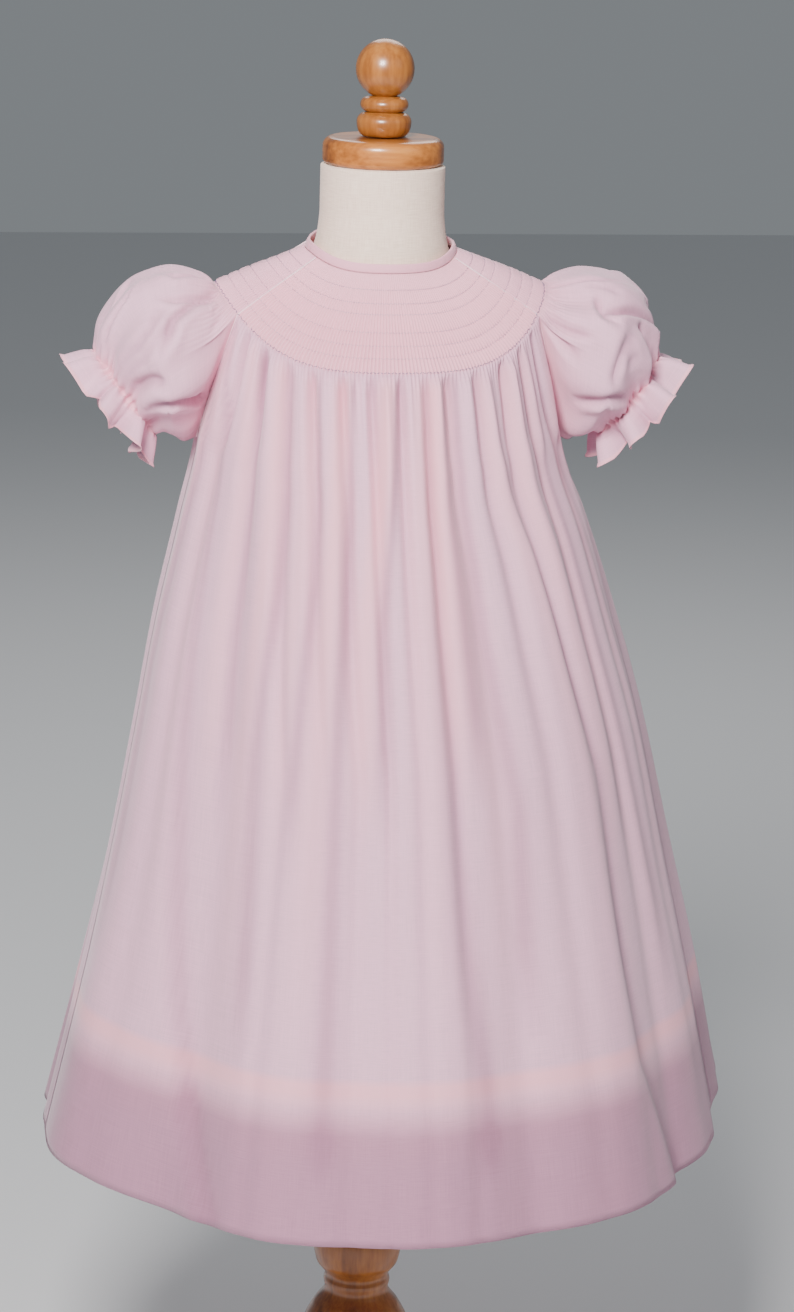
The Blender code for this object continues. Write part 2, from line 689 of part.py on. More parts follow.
def finial_profile():
    """Ball, collar and cup, from the top down."""
    collar_foot = FINIAL_BASE + CUP_HEIGHT
    ball_middle = collar_foot + COLLAR_HEIGHT + BALL_RADIUS * 0.93
    places = []
    for step in range(BALL_STEPS + 1):
        turn = math.radians(BALL_TURN * step / BALL_STEPS)
        places.append(Turning(BALL_RADIUS * math.sin(turn), ball_middle + BALL_RADIUS * math.cos(turn)))
    for share in (1.0, 0.5, 0.0):
        bulge = COLLAR_RADIUS * (1.0 if share == 0.5 else 0.82)
        places.append(Turning(bulge, collar_foot + COLLAR_HEIGHT * share * 0.9 + 0.0004))
    places.append(Turning(CUP_RADIUS * 0.86, collar_foot - 0.0008))
    places.append(Turning(CUP_RADIUS, collar_foot - CUP_HEIGHT * 0.35))
    places.append(Turning(CUP_RADIUS * 0.9, FINIAL_BASE + CUP_HEIGHT * 0.3))
    places.append(Turning(CUP_RADIUS * 0.78, FINIAL_BASE))
    return places


def build():
    clear_scene()
    collection = bpy.data.collections.new("smocked_dress")
    bpy.context.scene.collection.children.link(collection)
    cloth = {name: make_material(name + "_cloth", PINK, 0.85)
             for name in ("front", "back_left", "back_right", "sleeve_left", "sleeve_right")}
    add_panel("front", FRONT_GATHERS, cloth["front"], collection)
    add_panel("back_left", BACK_GATHERS, cloth["back_left"], collection)
    mirrored = [Gather(-gather.yoke, -gather.hem, gather.depth) for gather in BACK_GATHERS[::-1]]
    add_panel("back_right", mirrored, cloth["back_right"], collection)
    add_sleeve("sleeve_left", 1, cloth["sleeve_left"], collection)
    add_sleeve("sleeve_right", -1, cloth["sleeve_right"], collection)
    add_binding(make_material("binding_cloth", PINK, 0.8), collection)
    add_placket(make_material("placket_cloth", PINK, 0.8), collection)
    for index, row in enumerate(BUTTON_ROWS):
        add_button(f"button_{index + 1}", row, make_material(f"button_{index + 1}", PEARL, 0.3), collection)
    add_torso(make_material("form_cloth", CREAM, 0.9), collection)
    add_turned("neck_cap", cap_profile(), FORM_SEGMENTS, make_material("cap_wood", WOOD, 0.35), collection)
    add_turned("finial", finial_profile(), TURN_SEGMENTS, make_material("finial_wood", WOOD, 0.35), collection)
    add_turned("stand_post", POST_PROFILE, TURN_SEGMENTS, make_material("post_wood", WOOD, 0.4), collection)
    add_turned("stand_base", BASE_PROFILE, BASE_SEGMENTS, make_material("base_wood", WOOD, 0.4), collection)


build()
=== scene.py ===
# %% [markdown]
# A smocked bishop dress, on a limbless dress form.
#
# The dress is cut from pale pink batiste. A front, two backs and two sleeves are drawn together
# round the neck in fine pleats, which rows of stitching hold, and below the last row the cloth
# springs free.
# Each cloth piece here is a surface worked out from a table of rings round the body, and each
# point of it is then moved out along the surface's own normal by its pleats, folds and waves.

# %% Load the frame
import math
from collections import namedtuple

import bpy
import numpy as np
from mathutils import Matrix


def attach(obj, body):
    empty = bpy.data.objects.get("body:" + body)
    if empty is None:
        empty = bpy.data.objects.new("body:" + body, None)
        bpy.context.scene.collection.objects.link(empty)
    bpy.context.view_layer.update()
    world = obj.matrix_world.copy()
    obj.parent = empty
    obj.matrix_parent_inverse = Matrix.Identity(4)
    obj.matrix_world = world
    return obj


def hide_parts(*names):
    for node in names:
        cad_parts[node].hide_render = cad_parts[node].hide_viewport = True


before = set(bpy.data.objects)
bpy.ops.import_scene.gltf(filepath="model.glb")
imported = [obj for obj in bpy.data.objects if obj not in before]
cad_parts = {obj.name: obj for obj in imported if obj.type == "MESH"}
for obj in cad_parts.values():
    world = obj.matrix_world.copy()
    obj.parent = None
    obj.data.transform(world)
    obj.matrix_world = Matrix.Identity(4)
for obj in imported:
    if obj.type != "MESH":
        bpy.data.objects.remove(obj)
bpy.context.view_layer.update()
BODY = "root"

# %% [markdown]
# The camera stands a little above the yoke and a little to the viewer's left, with a long lens,
# and it is rolled by about a degree and a half. Its place is worked out from the neck cap's
# ellipse, the hem's curve and the lean of the neck.

# %% Camera
CAMERA_AZIMUTH = math.radians(-9.0)
CAMERA_PITCH = math.radians(14.3)
CAMERA_ROLL = math.radians(1.47)
CAMERA_REACH = 2.22
CAMERA_HEIGHT = 1.132
CAMERA_SIDESTEP = 0.016
LENS_MM = 101.25

right = np.array((math.cos(CAMERA_AZIMUTH), math.sin(CAMERA_AZIMUTH), 0.0))
back = np.array((
    math.sin(CAMERA_AZIMUTH) * math.cos(CAMERA_PITCH),
    -math.cos(CAMERA_AZIMUTH) * math.cos(CAMERA_PITCH),
    math.sin(CAMERA_PITCH),
))
up = np.cross(back, right)
place = np.array((
    CAMERA_REACH * math.sin(CAMERA_AZIMUTH),
    -CAMERA_REACH * math.cos(CAMERA_AZIMUTH),
    CAMERA_HEIGHT,
)) + right * CAMERA_SIDESTEP
rolled_right = right * math.cos(CAMERA_ROLL) + up * math.sin(CAMERA_ROLL)
rolled_up = up * math.cos(CAMERA_ROLL) - right * math.sin(CAMERA_ROLL)

camera_data = bpy.data.cameras.new("camera")
camera_data.lens = LENS_MM
camera = bpy.data.objects.new("camera", camera_data)
bpy.context.scene.collection.objects.link(camera)
camera.matrix_world = Matrix((
    (rolled_right[0], rolled_up[0], back[0], place[0]),
    (rolled_right[1], rolled_up[1], back[1], place[1]),
    (rolled_right[2], rolled_up[2], back[2], place[2]),
    (0.0, 0.0, 0.0, 1.0),
))
bpy.context.scene.camera = camera
print("camera at", place.round(3))

# %% [markdown]
# The key light stands in front and above, a little to the viewer's left, so that the right
# flanks of the folds fall into shade. A weak fill on the right keeps them from going dark, and
# a broad light behind lifts the outline and the back.

# %% Light and floor
LIGHT_AIM = 0.64


def add_area_light(name, azimuth, elevation, distance, size, power, colour=(1.0, 1.0, 1.0)):
    """A square soft light that looks at the dress."""
    data = bpy.data.lights.new(name, "AREA")
    data.size = size
    data.energy = power
    data.color = colour
    light = bpy.data.objects.new(name, data)
    bpy.context.scene.collection.objects.link(light)
    turn = math.radians(azimuth)
    rise = math.radians(elevation)
    away = np.array((math.sin(turn) * math.cos(rise), -math.cos(turn) * math.cos(rise), math.sin(rise)))
    side = np.cross((0.0, 0.0, 1.0), away)
    side /= np.linalg.norm(side)
    over = np.cross(away, side)
    spot = away * distance + np.array((0.0, 0.0, LIGHT_AIM))
    light.matrix_world = Matrix((
        (side[0], over[0], away[0], spot[0]),
        (side[1], over[1], away[1], spot[1]),
        (side[2], over[2], away[2], spot[2]),
        (0.0, 0.0, 0.0, 1.0),
    ))
    return light


add_area_light("key", -20, 34, 1.75, 0.45, 62, (1.0, 0.975, 0.965))
add_area_light("fill", 50, 26, 2.8, 1.4, 4, (0.94, 0.98, 1.0))
add_area_light("back", 168, 38, 2.6, 1.4, 22)
world = bpy.data.worlds.new("studio")
bpy.context.scene.world = world
world.use_nodes = True
world.node_tree.nodes["Background"].inputs["Color"].default_value = (0.76, 0.82, 0.87, 1.0)
world.node_tree.nodes["Background"].inputs["Strength"].default_value = 0.27

FLOOR_HALF = 6.0
floor_mesh = bpy.data.meshes.new("floor")
floor_mesh.from_pydata(
    [(x * FLOOR_HALF, y * FLOOR_HALF, 0.0) for x, y in ((-1, -1), (1, -1), (1, 1), (-1, 1))],
    [], [(0, 1, 2, 3)])
floor = bpy.data.objects.new("floor", floor_mesh)
bpy.context.scene.collection.objects.link(floor)
floor_material = bpy.data.materials.new("pale_floor")
floor_material.use_nodes = True
floor_shader = floor_material.node_tree.nodes["Principled BSDF"]
floor_shader.inputs["Base Color"].default_value = (0.72, 0.72, 0.73, 1.0)
floor_shader.inputs["Roughness"].default_value = 0.9
floor_mesh.materials.append(floor_material)

# %% [markdown]
# A material is a small graph of nodes, and most of ours need the same few: coordinates, a
# stretched noise, a colour ramp and a bump. These helpers make one of each and wire it up.

# %% Material helpers


class Graph:
    """The node graph of one new material, with its Principled shader."""

    def __init__(self, name, roughness, metallic=0.0):
        self.material = bpy.data.materials.new(name)
        self.material.use_nodes = True
        self.tree = self.material.node_tree
        self.shader = self.tree.nodes["Principled BSDF"]
        self.shader.inputs["Roughness"].default_value = roughness
        self.shader.inputs["Metallic"].default_value = metallic

    def add(self, kind, **settings):
        node = self.tree.nodes.new("ShaderNode" + kind)
        for key, value in settings.items():
            setattr(node, key, value)
        return node

    def join(self, source, target):
        self.tree.links.new(source, target)

    def stretched(self, coordinates, scale):
        mapping = self.add("Mapping")
        mapping.inputs["Scale"].default_value = scale
        self.join(coordinates, mapping.inputs["Vector"])
        return mapping.outputs["Vector"]

    def noise(self, vector, scale=1.0, detail=3.0, roughness=0.55):
        node = self.add("TexNoise")
        node.inputs["Scale"].default_value = scale
        node.inputs["Detail"].default_value = detail
        node.inputs["Roughness"].default_value = roughness
        self.join(vector, node.inputs["Vector"])
        return node.outputs["Fac"]

    def maths(self, operation, first, second):
        node = self.add("Math", operation=operation)
        for index, value in enumerate((first, second)):
            if isinstance(value, (int, float)):
                node.inputs[index].default_value = value
            else:
                self.join(value, node.inputs[index])
        return node.outputs[0]

    def ramp(self, value, stops):
        node = self.add("ValToRGB")
        band = node.color_ramp
        while len(band.elements) < len(stops):
            band.elements.new(0.5)
        for element, (position, colour) in zip(band.elements, stops):
            element.position = position
            element.color = (*colour, 1.0)
        self.join(value, node.inputs["Fac"])
        return node.outputs["Color"]

    def mix(self, share, first, second, blend="MIX"):
        node = self.add("Mix", data_type="RGBA", blend_type=blend)
        for socket, value in ((0, share), (6, first), (7, second)):
            if isinstance(value, (int, float)):
                node.inputs[socket].default_value = value
            elif isinstance(value, tuple):
                node.inputs[socket].default_value = (*value, 1.0)
            else:
                self.join(value, node.inputs[socket])
        return node.outputs[2]

    def bump(self, height, strength, distance):
        node = self.add("Bump")
        node.inputs["Strength"].default_value = strength
        node.inputs["Distance"].default_value = distance
        self.join(height, node.inputs["Height"])
        self.join(node.outputs["Normal"], self.shader.inputs["Normal"])


def attribute(graph, name):
    return graph.add("Attribute", attribute_name=name, attribute_type="GEOMETRY").outputs["Fac"]


print("material helpers ready")

# %% [markdown]
# Batiste is a fine plain weave, sheer enough that a second layer behind it shows as a deeper,
# pinker tone. Its threads are uneven: here and there a thicker one runs for a few centimetres.
# The pattern reads the piece's own cloth coordinates, in metres along the two thread directions.
# The piece also carries two tones. The first is the deeper, pinker tone where a second layer
# shows through, and beside each long fold it is also a painted highlight on the flank that faces
# the key light. The second is painted shade: darker cloth deep between pleats, in the folds'
# valleys and creases, and over the hem, partly for its layers and partly for the light falling
# off towards the bottom.

# %% Batiste
BATISTE_PALE = (0.83, 0.450, 0.590)
BATISTE_DEEP = (1.00, 0.450, 0.550)
BATISTE_CLOUD = (0.82, 0.420, 0.560)
BATISTE_SHADE = (0.42, 0.33, 0.40)
SHADE_DEPTH = 0.9
THREAD_WIDTH = 1500.0
THREAD_RUN = 45.0


def make_batiste(name):
    graph = Graph(name, 0.82)
    cloth = graph.add("UVMap", uv_map="cloth").outputs["UV"]
    warp = graph.noise(graph.stretched(cloth, (THREAD_WIDTH, THREAD_RUN, 1.0)), detail=2.0)
    weft = graph.noise(graph.stretched(cloth, (THREAD_RUN, THREAD_WIDTH, 1.0)), detail=2.0)
    threads = graph.maths("ADD", warp, weft)
    threads = graph.maths("MULTIPLY", threads, 0.5)
    cloudy = graph.noise(graph.stretched(cloth, (14.0, 9.0, 1.0)), detail=2.0)
    pale = graph.ramp(threads, [
        (0.34, tuple(c * 0.90 for c in BATISTE_PALE)),
        (0.50, BATISTE_PALE),
        (0.66, tuple(min(c * 1.09, 1.0) for c in BATISTE_PALE)),
    ])
    pale = graph.mix(graph.maths("MULTIPLY", cloudy, 0.35), pale, BATISTE_CLOUD)
    # the deeper colour stands for a second layer showing through, and beside the long folds also for a
    # painted highlight
    colour = graph.mix(attribute(graph, "doubled"), pale, BATISTE_DEEP)
    shaded = graph.maths("MULTIPLY", attribute(graph, "shade"), SHADE_DEPTH)
    colour = graph.mix(shaded, colour, BATISTE_SHADE, blend="MULTIPLY")
    graph.join(colour, graph.shader.inputs["Base Color"])
    graph.bump(threads, 0.35, 0.0006)
    graph.shader.inputs["Sheen Weight"].default_value = 0.25
    graph.shader.inputs["Sheen Roughness"].default_value = 0.5
    graph.shader.inputs["Subsurface Weight"].default_value = 0.12
    graph.shader.inputs["Subsurface Radius"].default_value = (1.0, 0.85, 0.85)
    graph.shader.inputs["Subsurface Scale"].default_value = 0.004
    return graph.material


batiste = make_batiste("pink_batiste")
print("made", batiste.name)

# %% [markdown]
# The smocking thread is a few strands of cotton in a dusty mauve, and the lowest row is darker.
# The form is covered in an undyed cotton, and its wood is varnished and golden brown.

# %% Thread, form cloth, wood and button


def make_plain(name, colour, roughness, grain, bump, coat=0.0):
    """A finish of one colour with fine irregular grain."""
    graph = Graph(name, roughness)
    spot = graph.add("TexCoord").outputs["Object"]
    fine = graph.noise(graph.stretched(spot, (grain, grain, grain)), detail=3.0)
    shades = [(0.3, tuple(c * 0.88 for c in colour)), (0.7, tuple(min(c * 1.08, 1.0) for c in colour))]
    graph.join(graph.ramp(fine, shades), graph.shader.inputs["Base Color"])
    graph.bump(fine, bump, 0.0004)
    graph.shader.inputs["Coat Weight"].default_value = coat
    return graph.material


def make_form_cloth():
    """Undyed cotton: a visible plain weave of slightly uneven threads."""
    graph = Graph("form_cotton", 0.9)
    cloth = graph.add("UVMap", uv_map="cloth").outputs["UV"]
    warp = graph.noise(graph.stretched(cloth, (1700.0, 90.0, 1.0)), detail=2.0)
    weft = graph.noise(graph.stretched(cloth, (90.0, 1700.0, 1.0)), detail=2.0)
    threads = graph.maths("MULTIPLY", graph.maths("ADD", warp, weft), 0.5)
    colour = graph.ramp(threads, [(0.35, (0.80, 0.60, 0.47)), (0.65, (0.98, 0.79, 0.65))])
    graph.join(colour, graph.shader.inputs["Base Color"])
    graph.bump(threads, 0.45, 0.0007)
    graph.shader.inputs["Sheen Weight"].default_value = 0.2
    return graph.material


WOOD_SHADES = [
    (0.34, (0.17, 0.048, 0.008)), (0.46, (0.36, 0.115, 0.020)),
    (0.56, (0.52, 0.185, 0.036)), (0.68, (0.66, 0.270, 0.062)),
]


def make_wood(name, along, depth):
    """Varnished wood; along stretches the grain down one axis of the piece."""
    graph = Graph(name, 0.32)
    spot = graph.add("TexCoord").outputs["Object"]
    stretch = {"X": (4.0, 42.0, 42.0), "Z": (42.0, 42.0, 4.0)}[along]
    broad = graph.noise(graph.stretched(spot, tuple(c * 0.9 for c in stretch)), scale=1.0, detail=5.0)
    fine = graph.noise(graph.stretched(spot, tuple(c * 9.0 for c in stretch)), scale=1.0, detail=3.0)
    grain = graph.maths("ADD", graph.maths("MULTIPLY", broad, 0.7), graph.maths("MULTIPLY", fine, 0.3))
    colour = graph.ramp(grain, [
        (position, tuple(c * depth for c in shade)) for position, shade in WOOD_SHADES])
    graph.join(colour, graph.shader.inputs["Base Color"])
    graph.bump(fine, 0.12, 0.0004)
    graph.shader.inputs["Coat Weight"].default_value = 0.35
    graph.shader.inputs["Coat Roughness"].default_value = 0.15
    return graph.material


mauve_thread = make_plain("mauve_thread", (0.46, 0.33, 0.43), 0.6, 2500.0, 0.3)
dark_thread = make_plain("dark_mauve_thread", (0.16, 0.13, 0.23), 0.6, 2500.0, 0.3)
pink_thread = make_plain("pink_thread", (0.98, 0.70, 0.76), 0.7, 2500.0, 0.3)
pearl = make_plain("pearl_button", (0.82, 0.78, 0.76), 0.25, 220.0, 0.05, coat=0.5)
form_cotton = make_form_cloth()
wood_upright = make_wood("wood_upright_grain", "Z", 0.72)
wood_across = make_wood("wood_cross_grain", "X", 0.95)
print("made", [material.name for material in bpy.data.materials][-7:])

# %% [markdown]
# The body of the dress is a stack of rings. Each row of this table is one ring: how far it
# reaches to the wearer's right and left, front and back, how high it lies there, and the angle
# from the centre front at which the front ends. Values in between come from a curve through the
# table's own values that never overshoots them.

# %% Rings of the body
Ring = namedtuple("Ring", "name right left front back z_front z_side z_back seam gather wave")
RINGS = [
    Ring("neckline",   0.046, 0.046, 0.045, 0.045, 0.8110, 0.8200, 0.8240, 64, 0.0, 0.0),
    Ring("yoke edge",  0.100, 0.100, 0.085, 0.080, 0.7570, 0.7980, 0.7650, 65, 0.4, 0.0),
    Ring("raglan",     0.104, 0.104, 0.091, 0.085, 0.7350, 0.7665, 0.7420, 71, 0.9, 0.0),
    Ring("armhole",    0.107, 0.107, 0.097, 0.090, 0.7120, 0.7370, 0.7180, 79, 1.0, 0.0),
    Ring("armpit",     0.109, 0.110, 0.100, 0.093, 0.7010, 0.7190, 0.7060, 84, 1.0, 0.0),
    Ring("underarm",   0.110, 0.112, 0.103, 0.096, 0.6880, 0.7050, 0.6920, 90, 1.0, 0.0),
    Ring("chest",      0.120, 0.130, 0.113, 0.106, 0.6450, 0.6550, 0.6480, 90, 1.0, 0.15),
    Ring("waist",      0.133, 0.149, 0.127, 0.119, 0.5880, 0.5940, 0.5900, 90, 0.9, 0.3),
    Ring("hip",        0.144, 0.168, 0.142, 0.133, 0.5260, 0.5300, 0.5280, 90, 0.8, 0.4),
    Ring("thigh",      0.160, 0.188, 0.162, 0.152, 0.4400, 0.4420, 0.4400, 90, 0.6, 0.6),
    Ring("hem top",    0.180, 0.209, 0.187, 0.175, 0.3500, 0.3500, 0.3500, 90, 0.4, 0.85),
    Ring("hem",        0.201, 0.228, 0.209, 0.197, 0.2600, 0.2600, 0.2600, 90, 0.3, 1.0),
]
YOKE_DOME = 0.0005
RING_VALUES = {field: np.array([getattr(ring, field) for ring in RINGS], float)
               for field in Ring._fields[1:]}
FALL = np.concatenate(((0.0,), np.cumsum(np.hypot(
    np.diff(RING_VALUES["front"]), np.diff(RING_VALUES["z_front"])))))
YOKE_FALL = FALL[1]
UNDERARM_FALL = FALL[5]
HEM_FALL = FALL[-1]


def curve_through(knots, values, places):
    """A smooth curve through the knots that never overshoots them."""
    gap = np.diff(knots)
    slope = np.diff(values) / gap
    lean = np.zeros(len(values))
    lean[0], lean[-1] = slope[0], slope[-1]
    product = slope[:-1] * slope[1:]
    total = slope[:-1] + slope[1:]
    lean[1:-1] = np.where(product > 0, 2 * product / np.where(product > 0, total, 1.0), 0.0)
    places = np.clip(places, knots[0], knots[-1])
    index = np.clip(np.searchsorted(knots, places, side="right") - 1, 0, len(gap) - 1)
    share = (places - knots[index]) / gap[index]
    cube = share ** 3
    square = share ** 2
    return ((2 * cube - 3 * square + 1) * values[index]
            + (cube - 2 * square + share) * gap[index] * lean[index]
            + (3 * square - 2 * cube) * values[index + 1]
            + (cube - square) * gap[index] * lean[index + 1])


def ring_value(fall, field):
    values = RING_VALUES[field]
    below = curve_through(FALL[1:], values[1:], fall)
    return np.where(fall < YOKE_FALL, np.interp(fall, FALL, values), below)


def body_point(fall, angle):
    """Points of the smooth body at a fall from the neckline and an angle from the front."""
    turn = np.radians(angle)
    side = np.where(angle > 0, ring_value(fall, "left"), ring_value(fall, "right"))
    front = np.abs((angle + 180) % 360 - 180) <= 90
    reach = np.where(front, ring_value(fall, "front"), ring_value(fall, "back"))
    end_z = np.where(front, ring_value(fall, "z_front"), ring_value(fall, "z_back"))
    dome = YOKE_DOME * np.sin(np.pi * np.clip(fall / YOKE_FALL, 0.0, 1.0))
    height = end_z + (ring_value(fall, "z_side") - end_z) * np.sin(turn) ** 4 + dome
    return np.stack((side * np.sin(turn), -reach * np.cos(turn), height), axis=-1)


def unit(vectors):
    return vectors / np.linalg.norm(vectors, axis=-1, keepdims=True)


def body_normal(fall, angle):
    """The direction straight out of the body's surface."""
    step = 0.0015
    turn_step = 0.6
    lower = body_point(np.minimum(fall + step, HEM_FALL), angle)
    upper = body_point(np.maximum(fall - step, 0), angle)
    down = lower - upper
    around = body_point(fall, angle + turn_step) - body_point(fall, angle - turn_step)
    return unit(np.cross(down, around))


print("falls", FALL.round(4))

# %% [markdown]
# Below the yoke the cloth gathers into folds. Each row of the first table is one fold: where its
# crest starts along the yoke's edge and where it ends at the hem, as a share of the panel from
# one seam to the other, and how far it stands out. The second table holds the broad waves that
# the hem makes all round, and the third holds the long folds that show most.

# %% Gathers and waves
Gather = namedtuple("Gather", "yoke hem depth")
FRONT_GATHERS = [
    Gather(-0.93, -0.84, 0.0045),
    Gather(-0.82, -0.66, 0.0040),
    Gather(-0.68, -0.38, 0.0065),
    Gather(-0.53, -0.27, 0.0035),
    Gather(-0.38, -0.16, 0.0060),
    Gather(-0.22, -0.07, 0.0035),
    Gather(-0.06, 0.00, 0.0060),
    Gather(0.06, 0.08, 0.0030),
    Gather(0.18, 0.16, 0.0060),
    Gather(0.35, 0.30, 0.0065),
    Gather(0.51, 0.44, 0.0035),
    Gather(0.68, 0.58, 0.0065),
    Gather(0.82, 0.72, 0.0040),
    Gather(0.93, 0.88, 0.0045),
]
BACK_GATHERS = [
    Gather(-0.86, -0.84, 0.0050),
    Gather(-0.60, -0.58, 0.0060),
    Gather(-0.34, -0.33, 0.0040),
    Gather(-0.10, -0.08, 0.0060),
    Gather(0.16, 0.14, 0.0045),
    Gather(0.42, 0.38, 0.0060),
    Gather(0.70, 0.66, 0.0040),
]
Wave = namedtuple("Wave", "angle spread reach")
HEM_WAVES = [
    Wave(-152, 14, 0.009), Wave(-128, 12, -0.009), Wave(-104, 13, 0.004),
    Wave(-78, 9, 0.004), Wave(-48, 15, -0.020), Wave(-24, 10, 0.004),
    Wave(-10, 7, -0.004), Wave(4, 9, 0.004), Wave(19, 7, -0.005),
    Wave(36, 9, 0.004), Wave(57, 10, -0.009), Wave(80, 9, -0.003),
    Wave(108, 12, 0.033), Wave(133, 12, -0.010), Wave(155, 12, 0.007),
]
# Long folds that fall from the yoke: points as distance below the yoke's edge and angle, the
# fold's depth at the yoke and at the hem, and how strongly its strip of doubled cloth shows, a
# strip that is also a painted highlight on the flank facing the key light
FoldLine = namedtuple("FoldLine", "points depth low_depth doubled")
FOLD_LINES = [
    FoldLine([(0.03, -66), (0.14, -64), (0.24, -62), (0.33, -58), (0.39, -54), (0.46, -47), (0.51, -39)],
             0.0018, 0.0050, 0.3),
    FoldLine([(0.0, -70), (0.08, -77), (0.20, -84), (0.33, -83)], 0.0016, 0.0020, 0.4),
    FoldLine([(0.0, -50), (0.07, -50), (0.16, -50), (0.22, -49)], 0.0014, 0.0006, 0.6),
    FoldLine([(0.0, -38), (0.13, -36), (0.23, -38), (0.36, -36)], 0.0020, 0.0012, 0.8),
    FoldLine([(0.0, -27), (0.12, -25), (0.24, -27)], 0.0014, 0.0006, 0.6),
    FoldLine([(0.0, -16), (0.15, -16), (0.25, -17), (0.42, -17)], 0.0024, 0.0024, 1.0),
    FoldLine([(0.0, -1), (0.05, -2), (0.15, -6), (0.22, -6)], 0.0018, 0.0006, 1.0),
    FoldLine([(0.0, 9), (0.15, 8), (0.25, 9), (0.34, 10), (0.42, 12)], 0.0024, 0.0032, 0.5),
    FoldLine([(0.0, 14), (0.10, 14), (0.20, 15)], 0.0014, 0.0006, 0.9),
    FoldLine([(0.0, 19), (0.15, 20), (0.26, 23), (0.34, 22)], 0.0020, 0.0012, 0.5),
    FoldLine([(0.0, 32), (0.05, 35), (0.16, 43), (0.25, 47), (0.36, 46), (0.43, 47), (0.51, 55)],
             0.0022, 0.0055, 0.5),
    FoldLine([(0.0, 43), (0.07, 48), (0.19, 54), (0.26, 55)], 0.0016, 0.0010, 0.5),
    FoldLine([(0.0, 52), (0.05, 57), (0.19, 61), (0.34, 64)], 0.0018, 0.0018, 0.4),
    FoldLine([(0.08, 72), (0.22, 76), (0.36, 78), (0.51, 80)], 0.0016, 0.0030, 0.3),
    FoldLine([(0.06, 104), (0.25, 101), (0.51, 98)], 0.0018, 0.0040, 0.3),
    FoldLine([(0.0, 128), (0.14, 126), (0.30, 124)], 0.0020, 0.0014, 0.7),
    FoldLine([(0.0, 143), (0.18, 142), (0.40, 145), (0.51, 148)], 0.0022, 0.0040, 0.9),
    FoldLine([(0.0, 160), (0.15, 161), (0.28, 161)], 0.0018, 0.0010, 0.7),
    FoldLine([(0.0, -168), (0.15, -168), (0.32, -169)], 0.0018, 0.0012, 0.6),
    FoldLine([(0.0, -151), (0.20, -150), (0.38, -147), (0.51, -143)], 0.0024, 0.0042, 0.9),
    FoldLine([(0.0, -134), (0.12, -133), (0.26, -131)], 0.0018, 0.0012, 0.7),
    FoldLine([(0.05, -112), (0.24, -108), (0.51, -104)], 0.0020, 0.0040, 0.4),
]
LINE_END = 0.06
FALL_BELOW = 0.51
DRIFT_FALL = FALL[8]
EDGE_POWER = 6
VALLEY_POWER = 2.2
SPRING_FALL = 0.009
# How strong the folds are at a few distances below the yoke's edge
FOLD_STRENGTH = [(0.0, 1.30), (0.05, 1.25), (0.14, 0.95), (0.26, 0.60), (0.40, 0.36), (0.52, 0.24)]
# Small folds between the main ones: half their number on a panel, their depth, how soon they fade
FINE_FOLDS = 13
FINE_DEPTH = 0.0011
FINE_FALL = 0.05


def knots_of(gathers, field):
    """A panel's edges, crests and the valleys between, at the yoke or at the hem."""
    crests = [getattr(gather, field) for gather in gathers]
    knots = [-1.0]
    for index, crest in enumerate(crests):
        valley = (crest + crests[index + 1]) / 2 if index + 1 < len(crests) else 1.0
        knots += [crest, valley]
    return np.array(knots)


def panel_angle(gathers, share, fall, first, last):
    """Angles of a panel's columns: straight folds inside, and a fan of cloth by the seams."""
    hem = np.interp(share, knots_of(gathers, "yoke"), knots_of(gathers, "hem"))
    drift = np.clip((fall - YOKE_FALL) / (DRIFT_FALL - YOKE_FALL), 0.0, 1.0)
    high_first, high_last = first(np.array(YOKE_FALL)), last(np.array(YOKE_FALL))
    low_first, low_last = first(np.array(UNDERARM_FALL)), last(np.array(UNDERARM_FALL))
    high = high_first + (high_last - high_first) * (share + 1) / 2
    low = low_first + (low_last - low_first) * (hem + 1) / 2
    straight = high + (low - high) * drift
    near_first = np.clip(-share, 0, 1) ** EDGE_POWER
    near_last = np.clip(share, 0, 1) ** EDGE_POWER
    straight += (first(fall) - high_first - (low_first - high_first) * drift) * near_first
    straight += (last(fall) - high_last - (low_last - high_last) * drift) * near_last
    return straight


def eased_between(knots, values, places):
    """Rounded crests and valleys between the knots."""
    index = np.clip(np.searchsorted(knots, places, side="right") - 1, 0, len(knots) - 2)
    share = np.clip((places - knots[index]) / (knots[index + 1] - knots[index]), 0.0, 1.0)
    share = share * share * (3 - 2 * share)
    return values[index] + (values[index + 1] - values[index]) * share


def fold_lift(gathers, share):
    """0 in a valley and 1 on a crest, with broad crests and narrow valleys."""
    lifts = np.array([0.0] + [1.0, 0.0] * len(gathers))
    eased = eased_between(knots_of(gathers, "yoke"), lifts, share)
    return 1 - (1 - eased) ** VALLEY_POWER


def opening(fall):
    """How far the cloth has sprung open below the last row of smocking."""
    return np.clip((fall - YOKE_FALL) / SPRING_FALL, 0.0, 1.0) ** 0.7


def gather_reach(gathers, share, fall):
    """How far the folds carry the cloth out, fading at the panel's seams."""
    crests = [gather.yoke for gather in gathers]
    depth = np.interp(share, crests, [gather.depth for gather in gathers])
    below = fall - YOKE_FALL
    strength = curve_through(np.array(FOLD_STRENGTH)[:, 0], np.array(FOLD_STRENGTH)[:, 1], below)
    form = depth * (fold_lift(gathers, share) - 0.5) * strength
    fine = np.cos(2 * np.pi * (FINE_FOLDS * share + 0.55 * np.sin(4.1 * share)
                               + 0.30 * np.sin(9.7 * share + 1.0)))
    form = form + FINE_DEPTH * (fine - 0.4) * np.exp(-np.clip(below, 0.0, None) / FINE_FALL)
    fade = np.clip((1.0 - np.abs(share)) / 0.07, 0.0, 1.0)
    return form * fade * opening(fall)


